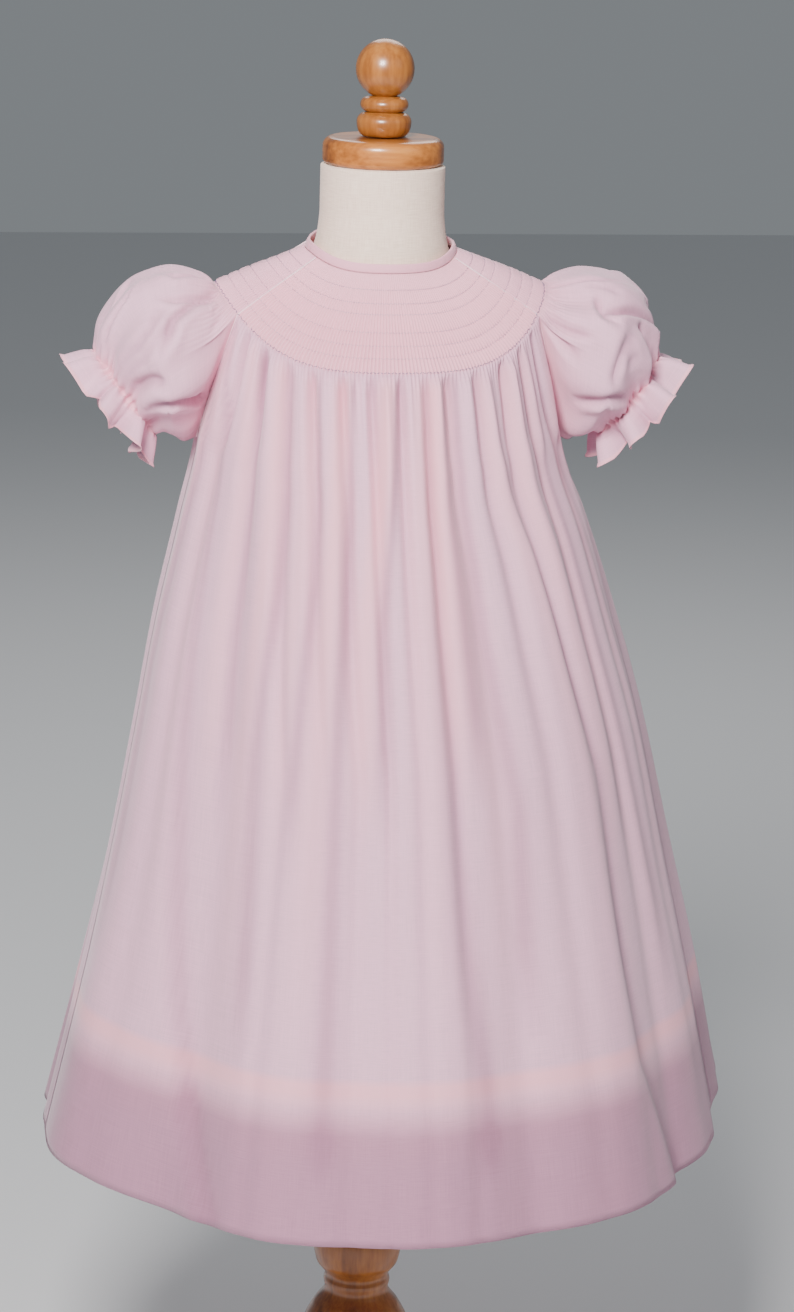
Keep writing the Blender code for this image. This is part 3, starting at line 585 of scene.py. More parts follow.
def fold_lines(fall, angle, radius):
    """Reach, doubled tone with painted highlight, and painted shade of the long folds: a rise from the
    left, then a steep drop.
    """
    below = fall - YOKE_FALL
    reach, doubled, shade = np.zeros((3, *np.shape(fall)))
    seam = ring_value(fall, "seam")
    off_seam = np.minimum(np.abs(np.abs(angle) - seam), np.abs(np.abs(angle) - 180 + seam))
    free = np.clip(off_seam / 8, 0.0, 1.0)
    free = np.maximum(free, np.clip((fall - UNDERARM_FALL) / 0.03, 0.0, 1.0)) * opening(fall)
    sharp = 0.0014 + 0.015 * below
    spread = 0.009 + 0.05 * below
    strip = 0.0045 + 0.020 * below
    for line in FOLD_LINES:
        falls, angles = np.array(line.points).T
        apart = (angle - np.interp(below, falls, angles) + 180) % 360 - 180
        apart = np.radians(apart) * radius
        strength = free * np.clip(1 - (below - falls[-1]) / LINE_END, 0.0, 1.0)
        depth = line.depth + (line.low_depth - line.depth) * np.clip(below / FALL_BELOW, 0.0, 1.0)
        reach -= strength * depth * np.tanh(apart / sharp) * np.exp(-np.abs(apart) / spread)
        fading = np.clip(1.15 - below / 0.36, 0.0, 1.0)
        # painted highlight: a brighter, pinker strip on the flank that faces the key light, which also
        # stands for the fold's second layer
        doubled += strength * line.doubled * fading * np.exp(-(((apart + strip) / strip) ** 2))
        # painted shade: a dark line down the fold's steep drop
        shade += strength * 0.50 * np.exp(-(((apart - sharp / 2) / sharp) ** 2))
    return reach, doubled, shade


def wave_reach(fall, angle):
    """How far the hem's broad waves carry the cloth out."""
    total = np.zeros(np.broadcast(fall, angle).shape)
    for wave in HEM_WAVES:
        apart = (angle - wave.angle + 180) % 360 - 180
        total += wave.reach * np.exp(-((apart / wave.spread) ** 2))
    return total * ring_value(fall, "wave")


print("front folds", len(FRONT_GATHERS), "back folds", 2 * len(BACK_GATHERS))

# %% [markdown]
# The smocking holds fine reed pleats side by side. Seven rows of cable stitch cross them, and
# each row pinches the pleats a little. Just below the last row the pleats spring open and fade
# out within a few centimetres, so they are drawn with the same cosine, only wider and softer.

# %% Pleats
SMOCK_ROWS = (0.17, 0.31, 0.42, 0.60, 0.73, 0.85, 0.985)
PLEAT_HEIGHT = 0.0019
PLEAT_SHADE = 0.42
PINCH_HALF = 0.0009
RELEASE = 0.006


def pleat_ridge(count, share):
    """0 between two pleats and 1 on a pleat's crest."""
    return 0.5 + 0.5 * np.cos(2 * np.pi * count * (share + 1) / 2 + np.pi)


def pleat_shade(count, share, fall):
    """Painted shade between the pleats, from the neckline down."""
    growth = np.clip(0.1 + 1.2 * fall / YOKE_FALL, 0.0, 1.0)
    return PLEAT_SHADE * (1 - pleat_ridge(count, share)) ** 1.5 * growth


def pleat_reach(count, share, fall):
    """Pleats over the yoke: count of them between a share of -1 and 1."""
    ridge = pleat_ridge(count, share)
    pinch = np.zeros(np.shape(fall))
    for row in SMOCK_ROWS:
        pinch = pinch + 0.45 * np.exp(-(((fall - row * YOKE_FALL) / PINCH_HALF) ** 2))
    growth = np.clip(0.15 + 1.3 * fall / YOKE_FALL, 0.0, 1.0)
    fade = np.exp(-np.clip(fall - YOKE_FALL, 0.0, None) / RELEASE)
    return PLEAT_HEIGHT * ridge * (1 - pinch) * growth * fade


print("smocking rows", len(SMOCK_ROWS))

# %% [markdown]
# A thin shell is two sheets of the same points a cloth's thickness apart, closed along every
# free edge. The faces of the outer sheet are given; the inner sheet is the same faces turned
# over, and an edge that only one face uses is a free edge, which gets a narrow rim.

# %% Shell builder
CLOTH_THICKNESS = 0.0005


def free_edges(faces):
    """Edges, in their face's own direction, that no second face uses."""
    seen = {}
    for face in faces:
        for first, second in zip(face, face[1:] + face[:1]):
            seen[(first, second)] = True
    return [edge for edge in seen if (edge[1], edge[0]) not in seen]


def set_tones(mesh, tones):
    """Writes the doubled and shade tones of every point."""
    for index, name in enumerate(("doubled", "shade")):
        layer = mesh.attributes.new(name, "FLOAT", "POINT")
        layer.data.foreach_set("value", tones[:, index].astype(np.float32))


def add_shell(name, points, normals, faces, cloth, tones, material, thickness=CLOTH_THICKNESS):
    """A closed thin shell with cloth coordinates and its two tones."""
    count = len(points)
    everything = np.concatenate((points, points - normals * thickness))
    rim = [(second, first, first + count, second + count) for first, second in free_edges(faces)]
    inner = [tuple(index + count for index in face[::-1]) for face in faces]
    mesh = bpy.data.meshes.new(name)
    mesh.from_pydata(everything.tolist(), [], faces + inner + rim)
    mesh.materials.append(material)
    mesh.shade_smooth()
    layer = mesh.uv_layers.new(name="cloth")
    corners = np.empty(len(mesh.loops), np.int32)
    mesh.loops.foreach_get("vertex_index", corners)
    layer.data.foreach_set("uv", np.concatenate((cloth, cloth))[corners].astype(np.float32).ravel())
    set_tones(mesh, np.concatenate((tones, tones)))
    thing = bpy.data.objects.new(name, mesh)
    bpy.context.scene.collection.objects.link(thing)
    print(name, "faces", len(mesh.polygons), "area", round(sheet_area(points, faces), 4))
    return thing


def sheet_area(points, faces):
    """Area of the outer sheet."""
    quads = np.array([face if len(face) == 4 else face + face[-1:] for face in faces])
    a, b, c, d = (points[quads[:, corner]] for corner in range(4))
    return float(np.linalg.norm(np.cross(c - a, d - b), axis=1).sum() / 2)


def grid_faces(rows, columns, start=0):
    """Quads over a grid whose rows run down and columns run with the angle."""
    corner = start + np.arange(rows - 1)[:, None] * columns + np.arange(columns - 1)[None, :]
    corner = corner.ravel()
    return np.stack((corner + columns, corner + columns + 1, corner + 1, corner), axis=1).tolist()


def halving_faces(fine_start, coarse_start, coarse_columns):
    """Joins a row of points to the next row, which has every second one."""
    faces = []
    for index in range(coarse_columns - 1):
        upper = fine_start + 2 * index
        lower = coarse_start + index
        faces.append((lower, upper + 1, upper))
        faces.append((lower, lower + 1, upper + 1))
        faces.append((lower + 1, upper + 2, upper + 1))
    return faces


print("shell thickness", CLOTH_THICKNESS)

# %% [markdown]
# A panel is two grids. The upper one has four columns to a pleat, down to where the pleats have
# faded, and the lower one has every second column. The doubled tone marks the yoke, a strip
# beside each long fold, which is also a painted highlight on the flank facing the key light, and
# the hem's turn, where there is a third layer. The shade tone is painted shade in the valleys
# between pleats and folds, and over the hem below its turn, partly for its layers and partly for
# the light falling off towards the bottom.

# %% Panels of the body
PLEAT_COLUMNS = 4
YOKE_ROWS = 58
RELEASE_ROWS = 14
RELEASE_FALL = 0.034
SKIRT_ROWS = 96
HEM_DEPTH = 0.098
HEM_TURN = 0.014
HEM_SHADE = 0.85


def doubled_tone(fall):
    """Deeper tone over the yoke and in the hem's turn."""
    up = HEM_FALL - fall
    hem = np.clip((HEM_DEPTH - up) / 0.0008, 0.0, 1.0)
    turn = hem * np.clip((up - (HEM_DEPTH - HEM_TURN)) / 0.002, 0.0, 1.0)
    third_layer = hem * np.clip((up - 0.045) / 0.03, 0.0, 1.0)
    yoke = np.where(fall < YOKE_FALL, 0.8, 0.0)
    return 0.90 * turn + 0.22 * third_layer + yoke


def shade_tone(gathers, pleats, share, fall):
    """Painted shade between the pleats, in the folds' valleys near the yoke and over the hem."""
    release = np.exp(-np.clip(fall - YOKE_FALL, 0.0, None) / RELEASE)
    between = pleat_shade(pleats, share, fall) * release
    below = np.clip(fall - YOKE_FALL, 0.0, None)
    valley = 0.55 * (1 - fold_lift(gathers, share)) ** 2 * np.exp(-below / 0.11) * opening(fall)
    up = HEM_FALL - fall
    # painted shade over the hem below its turn: partly its extra layers, partly the light falling off
    # towards the bottom
    hem = HEM_SHADE * np.clip((HEM_DEPTH - HEM_TURN - up) / 0.02, 0.0, 1.0)
    return between + valley + hem


def panel_surface(gathers, pleats, share, fall, first, last):
    """Points, normals and tones of a panel at these shares and falls."""
    angle = panel_angle(gathers, share, fall, first, last)
    normals = body_normal(fall, angle)
    smooth = body_point(fall, angle)
    line_reach, strip, dark = fold_lines(fall, angle, np.linalg.norm(smooth[..., :2], axis=-1))
    reach = gather_reach(gathers, share, fall) + pleat_reach(pleats, share, fall) + wave_reach(fall, angle)
    points = smooth + normals * (reach + line_reach)[..., None]
    doubled = doubled_tone(fall) + strip
    shade = shade_tone(gathers, pleats, share, fall) + dark
    return points, normals, np.clip(np.stack((doubled, shade), axis=-1), 0.0, 1.0)


def add_panel(name, gathers, pleats, first, last, cut_width):
    """A shell from the neckline to the hem, between two seams."""
    fine = pleats * PLEAT_COLUMNS + 1
    coarse = (fine + 1) // 2
    upper_fall = np.concatenate((
        np.linspace(0.0, YOKE_FALL, YOKE_ROWS, endpoint=False),
        np.linspace(YOKE_FALL, YOKE_FALL + RELEASE_FALL, RELEASE_ROWS),
    ))
    lower_fall = np.linspace(YOKE_FALL + RELEASE_FALL, HEM_FALL, SKIRT_ROWS + 1)[1:]
    parts = []
    for falls, columns in ((upper_fall, fine), (lower_fall, coarse)):
        share, fall = np.meshgrid(np.linspace(-1.0, 1.0, columns), falls)
        points, normals, tones = panel_surface(gathers, pleats, share, fall, first, last)
        cloth = np.stack((share * cut_width / 2, -fall), axis=-1)
        parts.append([part.reshape(-1, part.shape[-1]) for part in (points, normals, cloth, tones)])
    points, normals, cloth, tones = (np.concatenate(pair) for pair in zip(*parts))
    upper_rows = len(upper_fall)
    faces = [tuple(face) for face in grid_faces(upper_rows, fine)]
    faces += halving_faces((upper_rows - 1) * fine, upper_rows * fine, coarse)
    faces += [tuple(face) for face in grid_faces(SKIRT_ROWS, coarse, start=upper_rows * fine)]
    return add_shell(name, points, normals, faces, cloth, tones, batiste)


def seam_angle(fall):
    return ring_value(fall, "seam")


FRONT_PLEATS = 96
BACK_PLEATS = 46
FRONT_WIDTH = 0.66
BACK_WIDTH = 0.34
MIRRORED_GATHERS = [Gather(-g.yoke, -g.hem, g.depth) for g in BACK_GATHERS[::-1]]
CENTRE_BACK = 179.95
front = add_panel("dress_front", FRONT_GATHERS, FRONT_PLEATS,
                  lambda fall: -seam_angle(fall), seam_angle, FRONT_WIDTH)
back_left = add_panel("dress_back_left", BACK_GATHERS, BACK_PLEATS,
                      lambda fall: 180 - seam_angle(fall),
                      lambda fall: CENTRE_BACK + 0 * fall, BACK_WIDTH)
back_right = add_panel("dress_back_right", MIRRORED_GATHERS, BACK_PLEATS,
                       lambda fall: -CENTRE_BACK + 0 * fall,
                       lambda fall: seam_angle(fall) - 180, BACK_WIDTH)

# %% [markdown]
# A sleeve is one piece of cloth. Its top is smocked with the body, and below the yoke's edge it
# puffs out, is drawn in by a narrow elastic and ends in a frill. The table gives its sections from
# the armhole outwards: the top and low points, the half depth from front to back, how much of
# the armhole's own outline is left, and how deep its gathers are.

# %% Sleeve sections
Section = namedtuple("Section", "name top_x top_z low_x low_z half_depth armhole gather")
SLEEVE_SECTIONS = [
    Section("armhole",    0.1000, 0.7985, 0.1110, 0.7050, 0.047, 1.0, 0.0),
    Section("rise",       0.1090, 0.8035, 0.1185, 0.7020, 0.050, 0.55, 0.0018),
    Section("head",       0.1260, 0.8075, 0.1235, 0.7050, 0.054, 0.2, 0.0022),
    Section("puff",       0.1445, 0.8030, 0.1275, 0.7085, 0.055, 0.0, 0.0016),
    Section("fall",       0.1595, 0.7905, 0.1310, 0.7100, 0.049, 0.0, 0.0018),
    Section("draw",       0.1690, 0.7730, 0.1340, 0.7095, 0.039, 0.0, 0.0026),
    Section("elastic",    0.1715, 0.7560, 0.1365, 0.7080, 0.030, 0.0, 0.0022),
    Section("frill",      0.1790, 0.7525, 0.1395, 0.7020, 0.034, 0.0, 0.0038),
    Section("frill edge", 0.1880, 0.7460, 0.1450, 0.6920, 0.040, 0.0, 0.0064),
]
SECTION_VALUES = {field: np.array([getattr(section, field) for section in SLEEVE_SECTIONS], float)
                  for field in Section._fields[1:]}
ELASTIC = 6
SLEEVE_GATHERS = 8
SEAM_COLUMNS = 40
SLEEVE_PLEATS = 40
SLEEVE_WIDTH = 0.34
SLEEVE_RINGS = 104
CREASE_STEPS = 24
FRILL_DEPTH = 0.0060
FRILL_REACH = 0.0050
FRILL_ROLL = 0.0013
RIPPLE_DEPTH = 0.0006
# Turns at which the frill is pinched in, with one lobe between each two
RIGHT_PINCHES = (-180, -141, -100, -60, -28, 8, 64, 100, 148, 180)
LEFT_PINCHES = (-180, -136, -92, -54, -24, 12, 54, 97, 140, 180)

# Creases, listed one by one: points as turn from the top (the front is positive) and section,
# then the depth, the half width and how much cloth rolls up beside the trough
Crease = namedtuple("Crease", "points depth width roll")
RIGHT_CREASES = [
    Crease([(47, 0.35), (49, 1.45), (56, 1.95), (60, 2.35), (72, 2.6), (80, 3.0)], 0.0042, 0.0030, 0.7),
    Crease([(37, 0.2), (43, 1.3), (44, 2.1), (36, 2.7)], 0.0024, 0.0024, 0.8),
    Crease([(14, 0.4), (18, 1.1), (24, 2.05), (5, 2.7)], 0.0020, 0.0024, 0.8),
    Crease([(1, 2.8), (24, 3.7), (29, 4.6), (31, 5.3)], 0.0022, 0.0016, 0.9),
    Crease([(-11, 3.4), (6, 4.5), (9, 5.5)], 0.0022, 0.0018, 0.9),
    Crease([(48, 2.8), (58, 3.2), (65, 3.95), (64, 5.5)], 0.0024, 0.0042, 0.4),
    Crease([(62, 2.4), (70, 3.2), (78, 4.0), (76, 5.5)], 0.0020, 0.0036, 0.4),
    Crease([(88, 5.4), (95, 3.9), (104, 2.8)], 0.0042, 0.0040, 0.6),
    Crease([(134, 0.4), (128, 1.0), (120, 2.3), (118, 3.6), (114, 5.2)], 0.0048, 0.0032, 1.0),
    Crease([(57, 0.3), (69, 0.95)], 0.0014, 0.0018, 0.5),
    Crease([(68, 0.25), (82, 1.1)], 0.0014, 0.0018, 0.5),
    Crease([(-30, 0.5), (-48, 1.8), (-56, 3.4), (-50, 5.2)], 0.0032, 0.0034, 0.6),
    Crease([(-78, 0.6), (-92, 2.2), (-88, 4.6)], 0.0028, 0.0034, 0.5),
    Crease([(-118, 1.4), (-124, 3.0), (-116, 5.2)], 0.0036, 0.0036, 0.7),
]
LEFT_CREASES = [
    Crease([(-14, 3.1), (2, 3.9), (12, 4.4)], -0.0050, 0.0150, 0.0),
    Crease([(28, 0.4), (27, 1.45), (24, 2.4), (10, 3.4)], 0.0020, 0.0016, 0.8),
    Crease([(31, 1.7), (30, 2.6), (31, 3.0)], 0.0012, 0.0024, 0.4),
    Crease([(41, 2.2), (50, 2.2), (57, 2.35), (58, 2.85)], 0.0034, 0.0024, 0.9),
    Crease([(50, 2.5), (41, 3.35), (33, 3.95), (22, 4.8), (20, 5.4)], 0.0050, 0.0030, 1.0),
    Crease([(4, 3.6), (10, 4.3), (11, 5.0)], 0.0022, 0.0030, 0.4),
    Crease([(66, 3.3), (81, 3.2), (96, 3.1), (105, 3.3)], 0.0034, 0.0036, 0.5),
    Crease([(60, 3.5), (74, 3.7), (84, 4.3)], 0.0028, 0.0052, 0.2),
    Crease([(44, 4.1), (52, 4.65), (58, 5.5)], 0.0036, 0.0030, 0.7),
    Crease([(77, 0.3), (78, 1.0), (77, 1.55), (76, 1.95)], 0.0026, 0.0026, 0.8),
    Crease([(89, 0.2), (90, 0.65), (94, 1.05), (98, 1.5)], 0.0026, 0.0026, 0.8),
    Crease([(126, 1.4), (117, 2.8), (109, 4.3), (104, 5.2)], 0.0044, 0.0034, 0.9),
    Crease([(37, 0.05), (39, 0.8)], 0.0014, 0.0016, 0.5),
    Crease([(49, 0.1), (47, 0.75)], 0.0014, 0.0016, 0.5),
    Crease([(63, 0.15), (61, 0.9)], 0.0014, 0.0016, 0.5),
    Crease([(-26, 0.5), (-40, 2.0), (-46, 3.8), (-40, 5.4)], 0.0030, 0.0034, 0.6),
    Crease([(-70, 0.6), (-84, 2.4), (-80, 5.0)], 0.0030, 0.0036, 0.5),
    Crease([(-120, 1.2), (-128, 2.8), (-118, 5.0)], 0.0036, 0.0036, 0.7),
]


def crease_reach(creases, base, normals, at, turn):
    """Troughs along the given lines, each with a roll of cloth along its lower side."""
    total = np.zeros(base.shape[:2])
    for crease in creases:
        turns, ats = np.array(crease.points, float).T
        steps = np.linspace(0, len(turns) - 1, CREASE_STEPS)
        knots = np.arange(len(turns))
        path = on_grid(base, at, turn, np.interp(steps, knots, ats), np.interp(steps, knots, turns))
        apart = np.linalg.norm(base[:, :, None] - path[None, None], axis=-1)
        nearest = apart.argmin(axis=-1)
        near = apart.min(axis=-1) / crease.width
        along = nearest / (CREASE_STEPS - 1)
        tangent = unit(np.gradient(path, axis=0))[nearest]
        across = (np.cross(tangent, normals) * (base - path[nearest])).sum(axis=-1) / crease.width
        lower = np.where(near < 3, across * (path[nearest][..., 2] - base[..., 2]), 0.0).sum()
        across = across * np.sign(lower)
        past = np.clip(near ** 2 - across ** 2, 0.0, None)
        ends = np.clip(0.55 + along / 0.25, 0.0, 1.0) * np.clip(0.15 + (1 - along) / 0.35, 0.0, 1.0)
        trough = np.exp(-near ** 2) - 0.55 * crease.roll * np.exp(-((across - 2.0) / 1.1) ** 2 - past)
        total -= crease.depth * ends * trough
    return total


def on_grid(base, at, turn, spot_at, spot_turn):
    """Points of a sleeve's own grid at these sections and turns."""
    row = np.interp(spot_at, at, np.arange(len(at)))
    column = np.interp(-spot_turn, -turn, np.arange(len(turn)))
    first_row = np.minimum(row.astype(int), len(at) - 2)
    first_column = np.minimum(column.astype(int), len(turn) - 2)
    down = (row - first_row)[:, None]
    over = (column - first_column)[:, None]
    upper = base[first_row, first_column] * (1 - over) + base[first_row, first_column + 1] * over
    below = base[first_row + 1, first_column] * (1 - over) + base[first_row + 1, first_column + 1] * over
    return upper * (1 - down) + below * down


def frill_lobes(turn, pinches):
    """Rounded lobes between the pinched places, the wider ones standing out further."""
    pinches = np.array(pinches, float)
    index = np.clip(np.searchsorted(pinches, turn, side="right") - 1, 0, len(pinches) - 2)
    width = np.diff(pinches)[index]
    apart = np.abs(2 * (turn - pinches[index]) / width - 1)
    lobe = (1 - apart ** 1.8) ** 0.8
    return np.sqrt(width / 45) * lobe - 1.1 * (1 - lobe)


def section_value(at, field):
    """One column of the sleeve's table, between its rows as well."""
    knots = np.arange(len(SLEEVE_SECTIONS), dtype=float)
    return curve_through(knots, SECTION_VALUES[field], at)


def section_point(at, turn, side):
    """Points of the plain sleeve sections."""
    turned = np.radians(turn)
    top_x, low_x = section_value(at, "top_x"), section_value(at, "low_x")
    top_z, low_z = section_value(at, "top_z"), section_value(at, "low_z")
    x = (top_x + low_x) / 2 + (top_x - low_x) / 2 * np.cos(turned)
    z = (top_z + low_z) / 2 + (top_z - low_z) / 2 * np.cos(turned)
    y = -section_value(at, "half_depth") * np.sin(turned)
    return np.stack((side * x, y, z), axis=-1)


def armhole_loop(side):
    """Fall, angle and turn of each column round the armhole, from the underarm up the front."""
    seam_fall = np.interp(np.linspace(5, 1, SEAM_COLUMNS + 1), np.arange(len(FALL)), FALL)
    seam = seam_angle(seam_fall)
    edge = float(seam_angle(np.array(YOKE_FALL)))
    shoulder = np.linspace(edge, 180 - edge, SLEEVE_PLEATS * PLEAT_COLUMNS + 1)
    fall = np.concatenate((seam_fall[:-1], np.full(len(shoulder), YOKE_FALL), seam_fall[-2::-1]))
    angle = np.concatenate((seam[:-1], shoulder, 180 - seam[-2::-1]))
    turn = np.concatenate((
        np.linspace(180, 90, SEAM_COLUMNS + 1)[:-1],
        np.linspace(90, -90, len(shoulder)),
        np.linspace(-90, -180, SEAM_COLUMNS + 1)[1:],
    ))
    return fall, side * angle, turn


def add_sleeve(name, side, creases, pinches):
    """A sleeve from the neckline over the shoulder to the frill's edge."""
    fall, angle, turn = armhole_loop(side)
    columns = len(turn)
    puff_at = np.linspace(0, 5, SLEEVE_RINGS * 5 // 8)
    frill_at = np.linspace(5, 8, SLEEVE_RINGS * 3 // 8 + 1)[1:]
    at = np.concatenate((puff_at, frill_at))
    grid_at, grid_turn = np.meshgrid(at, turn, indexing="ij")
    armhole = body_point(fall, angle)
    plain = section_point(np.zeros(columns), turn, side)
    base = section_point(grid_at, grid_turn, side)
    base += (armhole - plain)[None] * section_value(grid_at, "armhole")[..., None]
    out = np.gradient(base, axis=0)
    around = np.gradient(base, axis=1)
    around[:, 0] = around[:, -1] = base[:, 1] - base[:, -2]
    normals = unit(np.cross(around, out)) * -side

    share = (180 - grid_turn) / 360
    reach = -np.cos(2 * np.pi * SLEEVE_GATHERS * share) * section_value(grid_at, "gather")
    uneven = 1 + 0.35 * np.sin(2 * np.pi * 3 * share + 1.3 * side)
    uneven = uneven + 0.2 * np.sin(2 * np.pi * 5 * share + 2.0)
    reach *= uneven
    shirring = np.cos(2 * np.pi * 36 * share + 1.3 * np.sin(2 * np.pi * 5 * share))
    reach += 0.0013 * shirring * np.exp(-(((grid_at - ELASTIC) / 0.5) ** 2))
    reach -= 0.0016 * np.exp(-(((grid_at - ELASTIC) / 0.2) ** 2))
    flare = np.clip((grid_at - ELASTIC) / 2, 0.0, 1.0)
    lobes = frill_lobes(grid_turn, pinches)
    reach += FRILL_DEPTH * lobes * flare
    ripple = np.sin(2 * np.pi * 23 * share + 2.0 * np.sin(2 * np.pi * 4 * share))
    reach += RIPPLE_DEPTH * ripple * flare * (1.3 - flare)
    reach += FRILL_ROLL * np.exp(-(((grid_at - 8.0) / 0.10) ** 2))
    dents = crease_reach(creases, base, normals, at, turn)
    reach += dents
    under = np.clip((180 - np.abs(grid_turn)) / 12, 0.0, 1.0)
    start = np.clip(grid_at / 0.5, 0.0, 1.0)
    reach *= under * start

    on_shoulder = np.abs(grid_turn) <= 90
    pleat_share = np.clip(-grid_turn / 90, -1.0, 1.0)
    fading = np.exp(-grid_at / 0.8)
    ridge = pleat_reach(SLEEVE_PLEATS, pleat_share, np.full(grid_at.shape, YOKE_FALL))
    reach += np.where(on_shoulder, ridge * fading, 0.0)
    blend = np.exp(-grid_at / 0.35)[..., None]
    normals = unit(normals * (1 - blend) + body_normal(fall, angle)[None] * blend)
    tube = base + normals * reach[..., None]
    tube += unit(out) * (FRILL_REACH * np.minimum(lobes - 0.3, 0.0) * flare ** 1.5 * under)[..., None]

    strip_columns = SLEEVE_PLEATS * PLEAT_COLUMNS + 1
    strip_share, strip_fall = np.meshgrid(
        np.linspace(-1, 1, strip_columns), np.linspace(0.0, YOKE_FALL, YOKE_ROWS, endpoint=False))
    edge = seam_angle(strip_fall)
    strip_angle = side * (90 + (90 - edge) * strip_share)
    strip_normals = body_normal(strip_fall, strip_angle)
    strip = body_point(strip_fall, strip_angle)
    strip += strip_normals * pleat_reach(SLEEVE_PLEATS, strip_share, strip_fall)[..., None]

    points = np.concatenate((tube.reshape(-1, 3), strip.reshape(-1, 3)))
    normals = np.concatenate((normals.reshape(-1, 3), strip_normals.reshape(-1, 3)))
    steps = np.linalg.norm(np.diff(base[:, columns // 2], axis=0), axis=1)
    length = np.concatenate(((0.0,), np.cumsum(steps)))
    tube_cloth = np.stack((
        (share - 0.5) * SLEEVE_WIDTH, -np.broadcast_to(length[:, None], share.shape) - YOKE_FALL), axis=-1)
    strip_cloth = np.stack((strip_share * SLEEVE_WIDTH / 4, -strip_fall), axis=-1)
    cloth = np.concatenate((tube_cloth.reshape(-1, 2), strip_cloth.reshape(-1, 2)))
    elastic_tone = 0.6 * np.exp(-(((grid_at - ELASTIC) / 0.35) ** 2))
    edge_tone = 0.9 * np.clip((grid_at - 7.82) / 0.04, 0.0, 1.0)
    root_tone = 0.45 * np.exp(-grid_at / 0.9)
    tube_tone = elastic_tone + edge_tone + root_tone
    doubled = np.concatenate((tube_tone.ravel(), np.full(strip_share.size, 0.5)))
    # painted shade: darker cloth between the shoulder's pleats, in the crease troughs, in the shirring's
    # valleys and at the frill's pinches
    folded = np.where(on_shoulder, PLEAT_SHADE * (1 - ridge / ridge.max()) ** 1.5 * fading, 0.0)
    dents = 0.60 * np.clip(-dents / 0.004, 0.0, 1.0)
    pinched = 0.45 * (0.5 - 0.5 * shirring) * np.exp(-(((grid_at - ELASTIC) / 0.5) ** 2))
    strip_shade = pleat_shade(SLEEVE_PLEATS, strip_share, strip_fall)
    creased = 0.45 * np.clip(0.6 - lobes, 0.0, 1.2) * flare
    shade = np.concatenate(((folded + dents + pinched + creased).ravel(), strip_shade.ravel()))
    tones = np.clip(np.stack((doubled, shade), axis=-1), 0.0, 1.0)

    faces = grid_faces(len(at), columns)
    first_strip = tube.shape[0] * columns
    faces += grid_faces(YOKE_ROWS, strip_columns, start=first_strip)
    last = first_strip + (YOKE_ROWS - 1) * strip_columns
    for step in range(strip_columns - 1):
        lower = SEAM_COLUMNS + step
        faces.append((lower, lower + 1, last + step + 1, last + step))
    faces = [tuple(face) if side > 0 else tuple(face[::-1]) for face in faces]
    return add_shell(name, points, normals, faces, cloth, tones, batiste)


sleeve_left = add_sleeve("dress_sleeve_left", 1, LEFT_CREASES, LEFT_PINCHES)
sleeve_right = add_sleeve("dress_sleeve_right", -1, RIGHT_CREASES, RIGHT_PINCHES)

# %% [markdown]
# Geometry Nodes turn short edges into stitches. The mesh that goes in has one loose edge for
# each stitch; the tree makes each edge a curve, gives it a round section and a material, and
# realizes the result, so the object ends as plain faces.

# %% Stitch maker


def stitch_tree(name, material):
    """Edges in, little threads out, with the thread's thickness as a named input."""
    tree = bpy.data.node_groups.new(name, "GeometryNodeTree")
    tree.interface.new_socket("Stitches", in_out="INPUT", socket_type="NodeSocketGeometry")
    thickness = tree.interface.new_socket("Thread radius", in_out="INPUT", socket_type="NodeSocketFloat")
    tree.interface.new_socket("Threads", in_out="OUTPUT", socket_type="NodeSocketGeometry")
    nodes, links = tree.nodes, tree.links
    entry = nodes.new("NodeGroupInput")
    leave = nodes.new("NodeGroupOutput")
    curve = nodes.new("GeometryNodeMeshToCurve")
    circle = nodes.new("GeometryNodeCurvePrimitiveCircle")
    circle.inputs["Resolution"].default_value = 5
    sweep = nodes.new("GeometryNodeCurveToMesh")
    sweep.inputs["Fill Caps"].default_value = True
    realize = nodes.new("GeometryNodeRealizeInstances")
    finish = nodes.new("GeometryNodeSetMaterial")
    finish.inputs["Material"].default_value = material
    links.new(entry.outputs["Stitches"], curve.inputs["Mesh"])
    links.new(entry.outputs["Thread radius"], circle.inputs["Radius"])
    links.new(curve.outputs["Curve"], sweep.inputs["Curve"])
    links.new(circle.outputs["Curve"], sweep.inputs["Profile Curve"])
    links.new(sweep.outputs["Mesh"], realize.inputs["Geometry"])
    links.new(realize.outputs["Geometry"], finish.inputs["Geometry"])
    links.new(finish.outputs["Geometry"], leave.inputs["Threads"])
    return tree, thickness.identifier


def add_threads(name, runs, radius, material):
    """runs is a list of point lists; each run becomes one thread."""
    places, edges = [], []
    for run in runs:
        start = len(places)
        places += [tuple(point) for point in run]
        edges += [(start + index, start + index + 1) for index in range(len(run) - 1)]
    mesh = bpy.data.meshes.new(name + "_path")
    mesh.from_pydata(places, edges, [])
    source = bpy.data.objects.new(name + "_path", mesh)
    bpy.context.scene.collection.objects.link(source)
    tree, socket = stitch_tree(name + "_tree", material)
    modifier = source.modifiers.new("threads", "NODES")
    modifier.node_group = tree
    modifier[socket] = radius
    graph = bpy.context.evaluated_depsgraph_get()
    made = bpy.data.meshes.new_from_object(source.evaluated_get(graph))
    bpy.data.objects.remove(source)
    made.name = name
    if not made.materials:
        made.materials.append(material)
    made.shade_smooth()
    thing = bpy.data.objects.new(name, made)
    bpy.context.scene.collection.objects.link(thing)
    print(name, "threads", len(runs), "faces", len(made.polygons))
    return thing


# %% [markdown]
# The smocking's cable stitch goes from pleat to pleat, one stitch a little above the row's line
# and the next a little below. The threads lie on the pleats' crests. The lowest row is worked
# in a darker thread, and closer.

# %% Smocking stitches
STITCH_LIFT = 0.0002
CABLE_STEP = 0.0003
STITCH_SHARE = 0.62
THREAD_RADIUS = 0.00013
BOTTOM_RADIUS = 0.00020


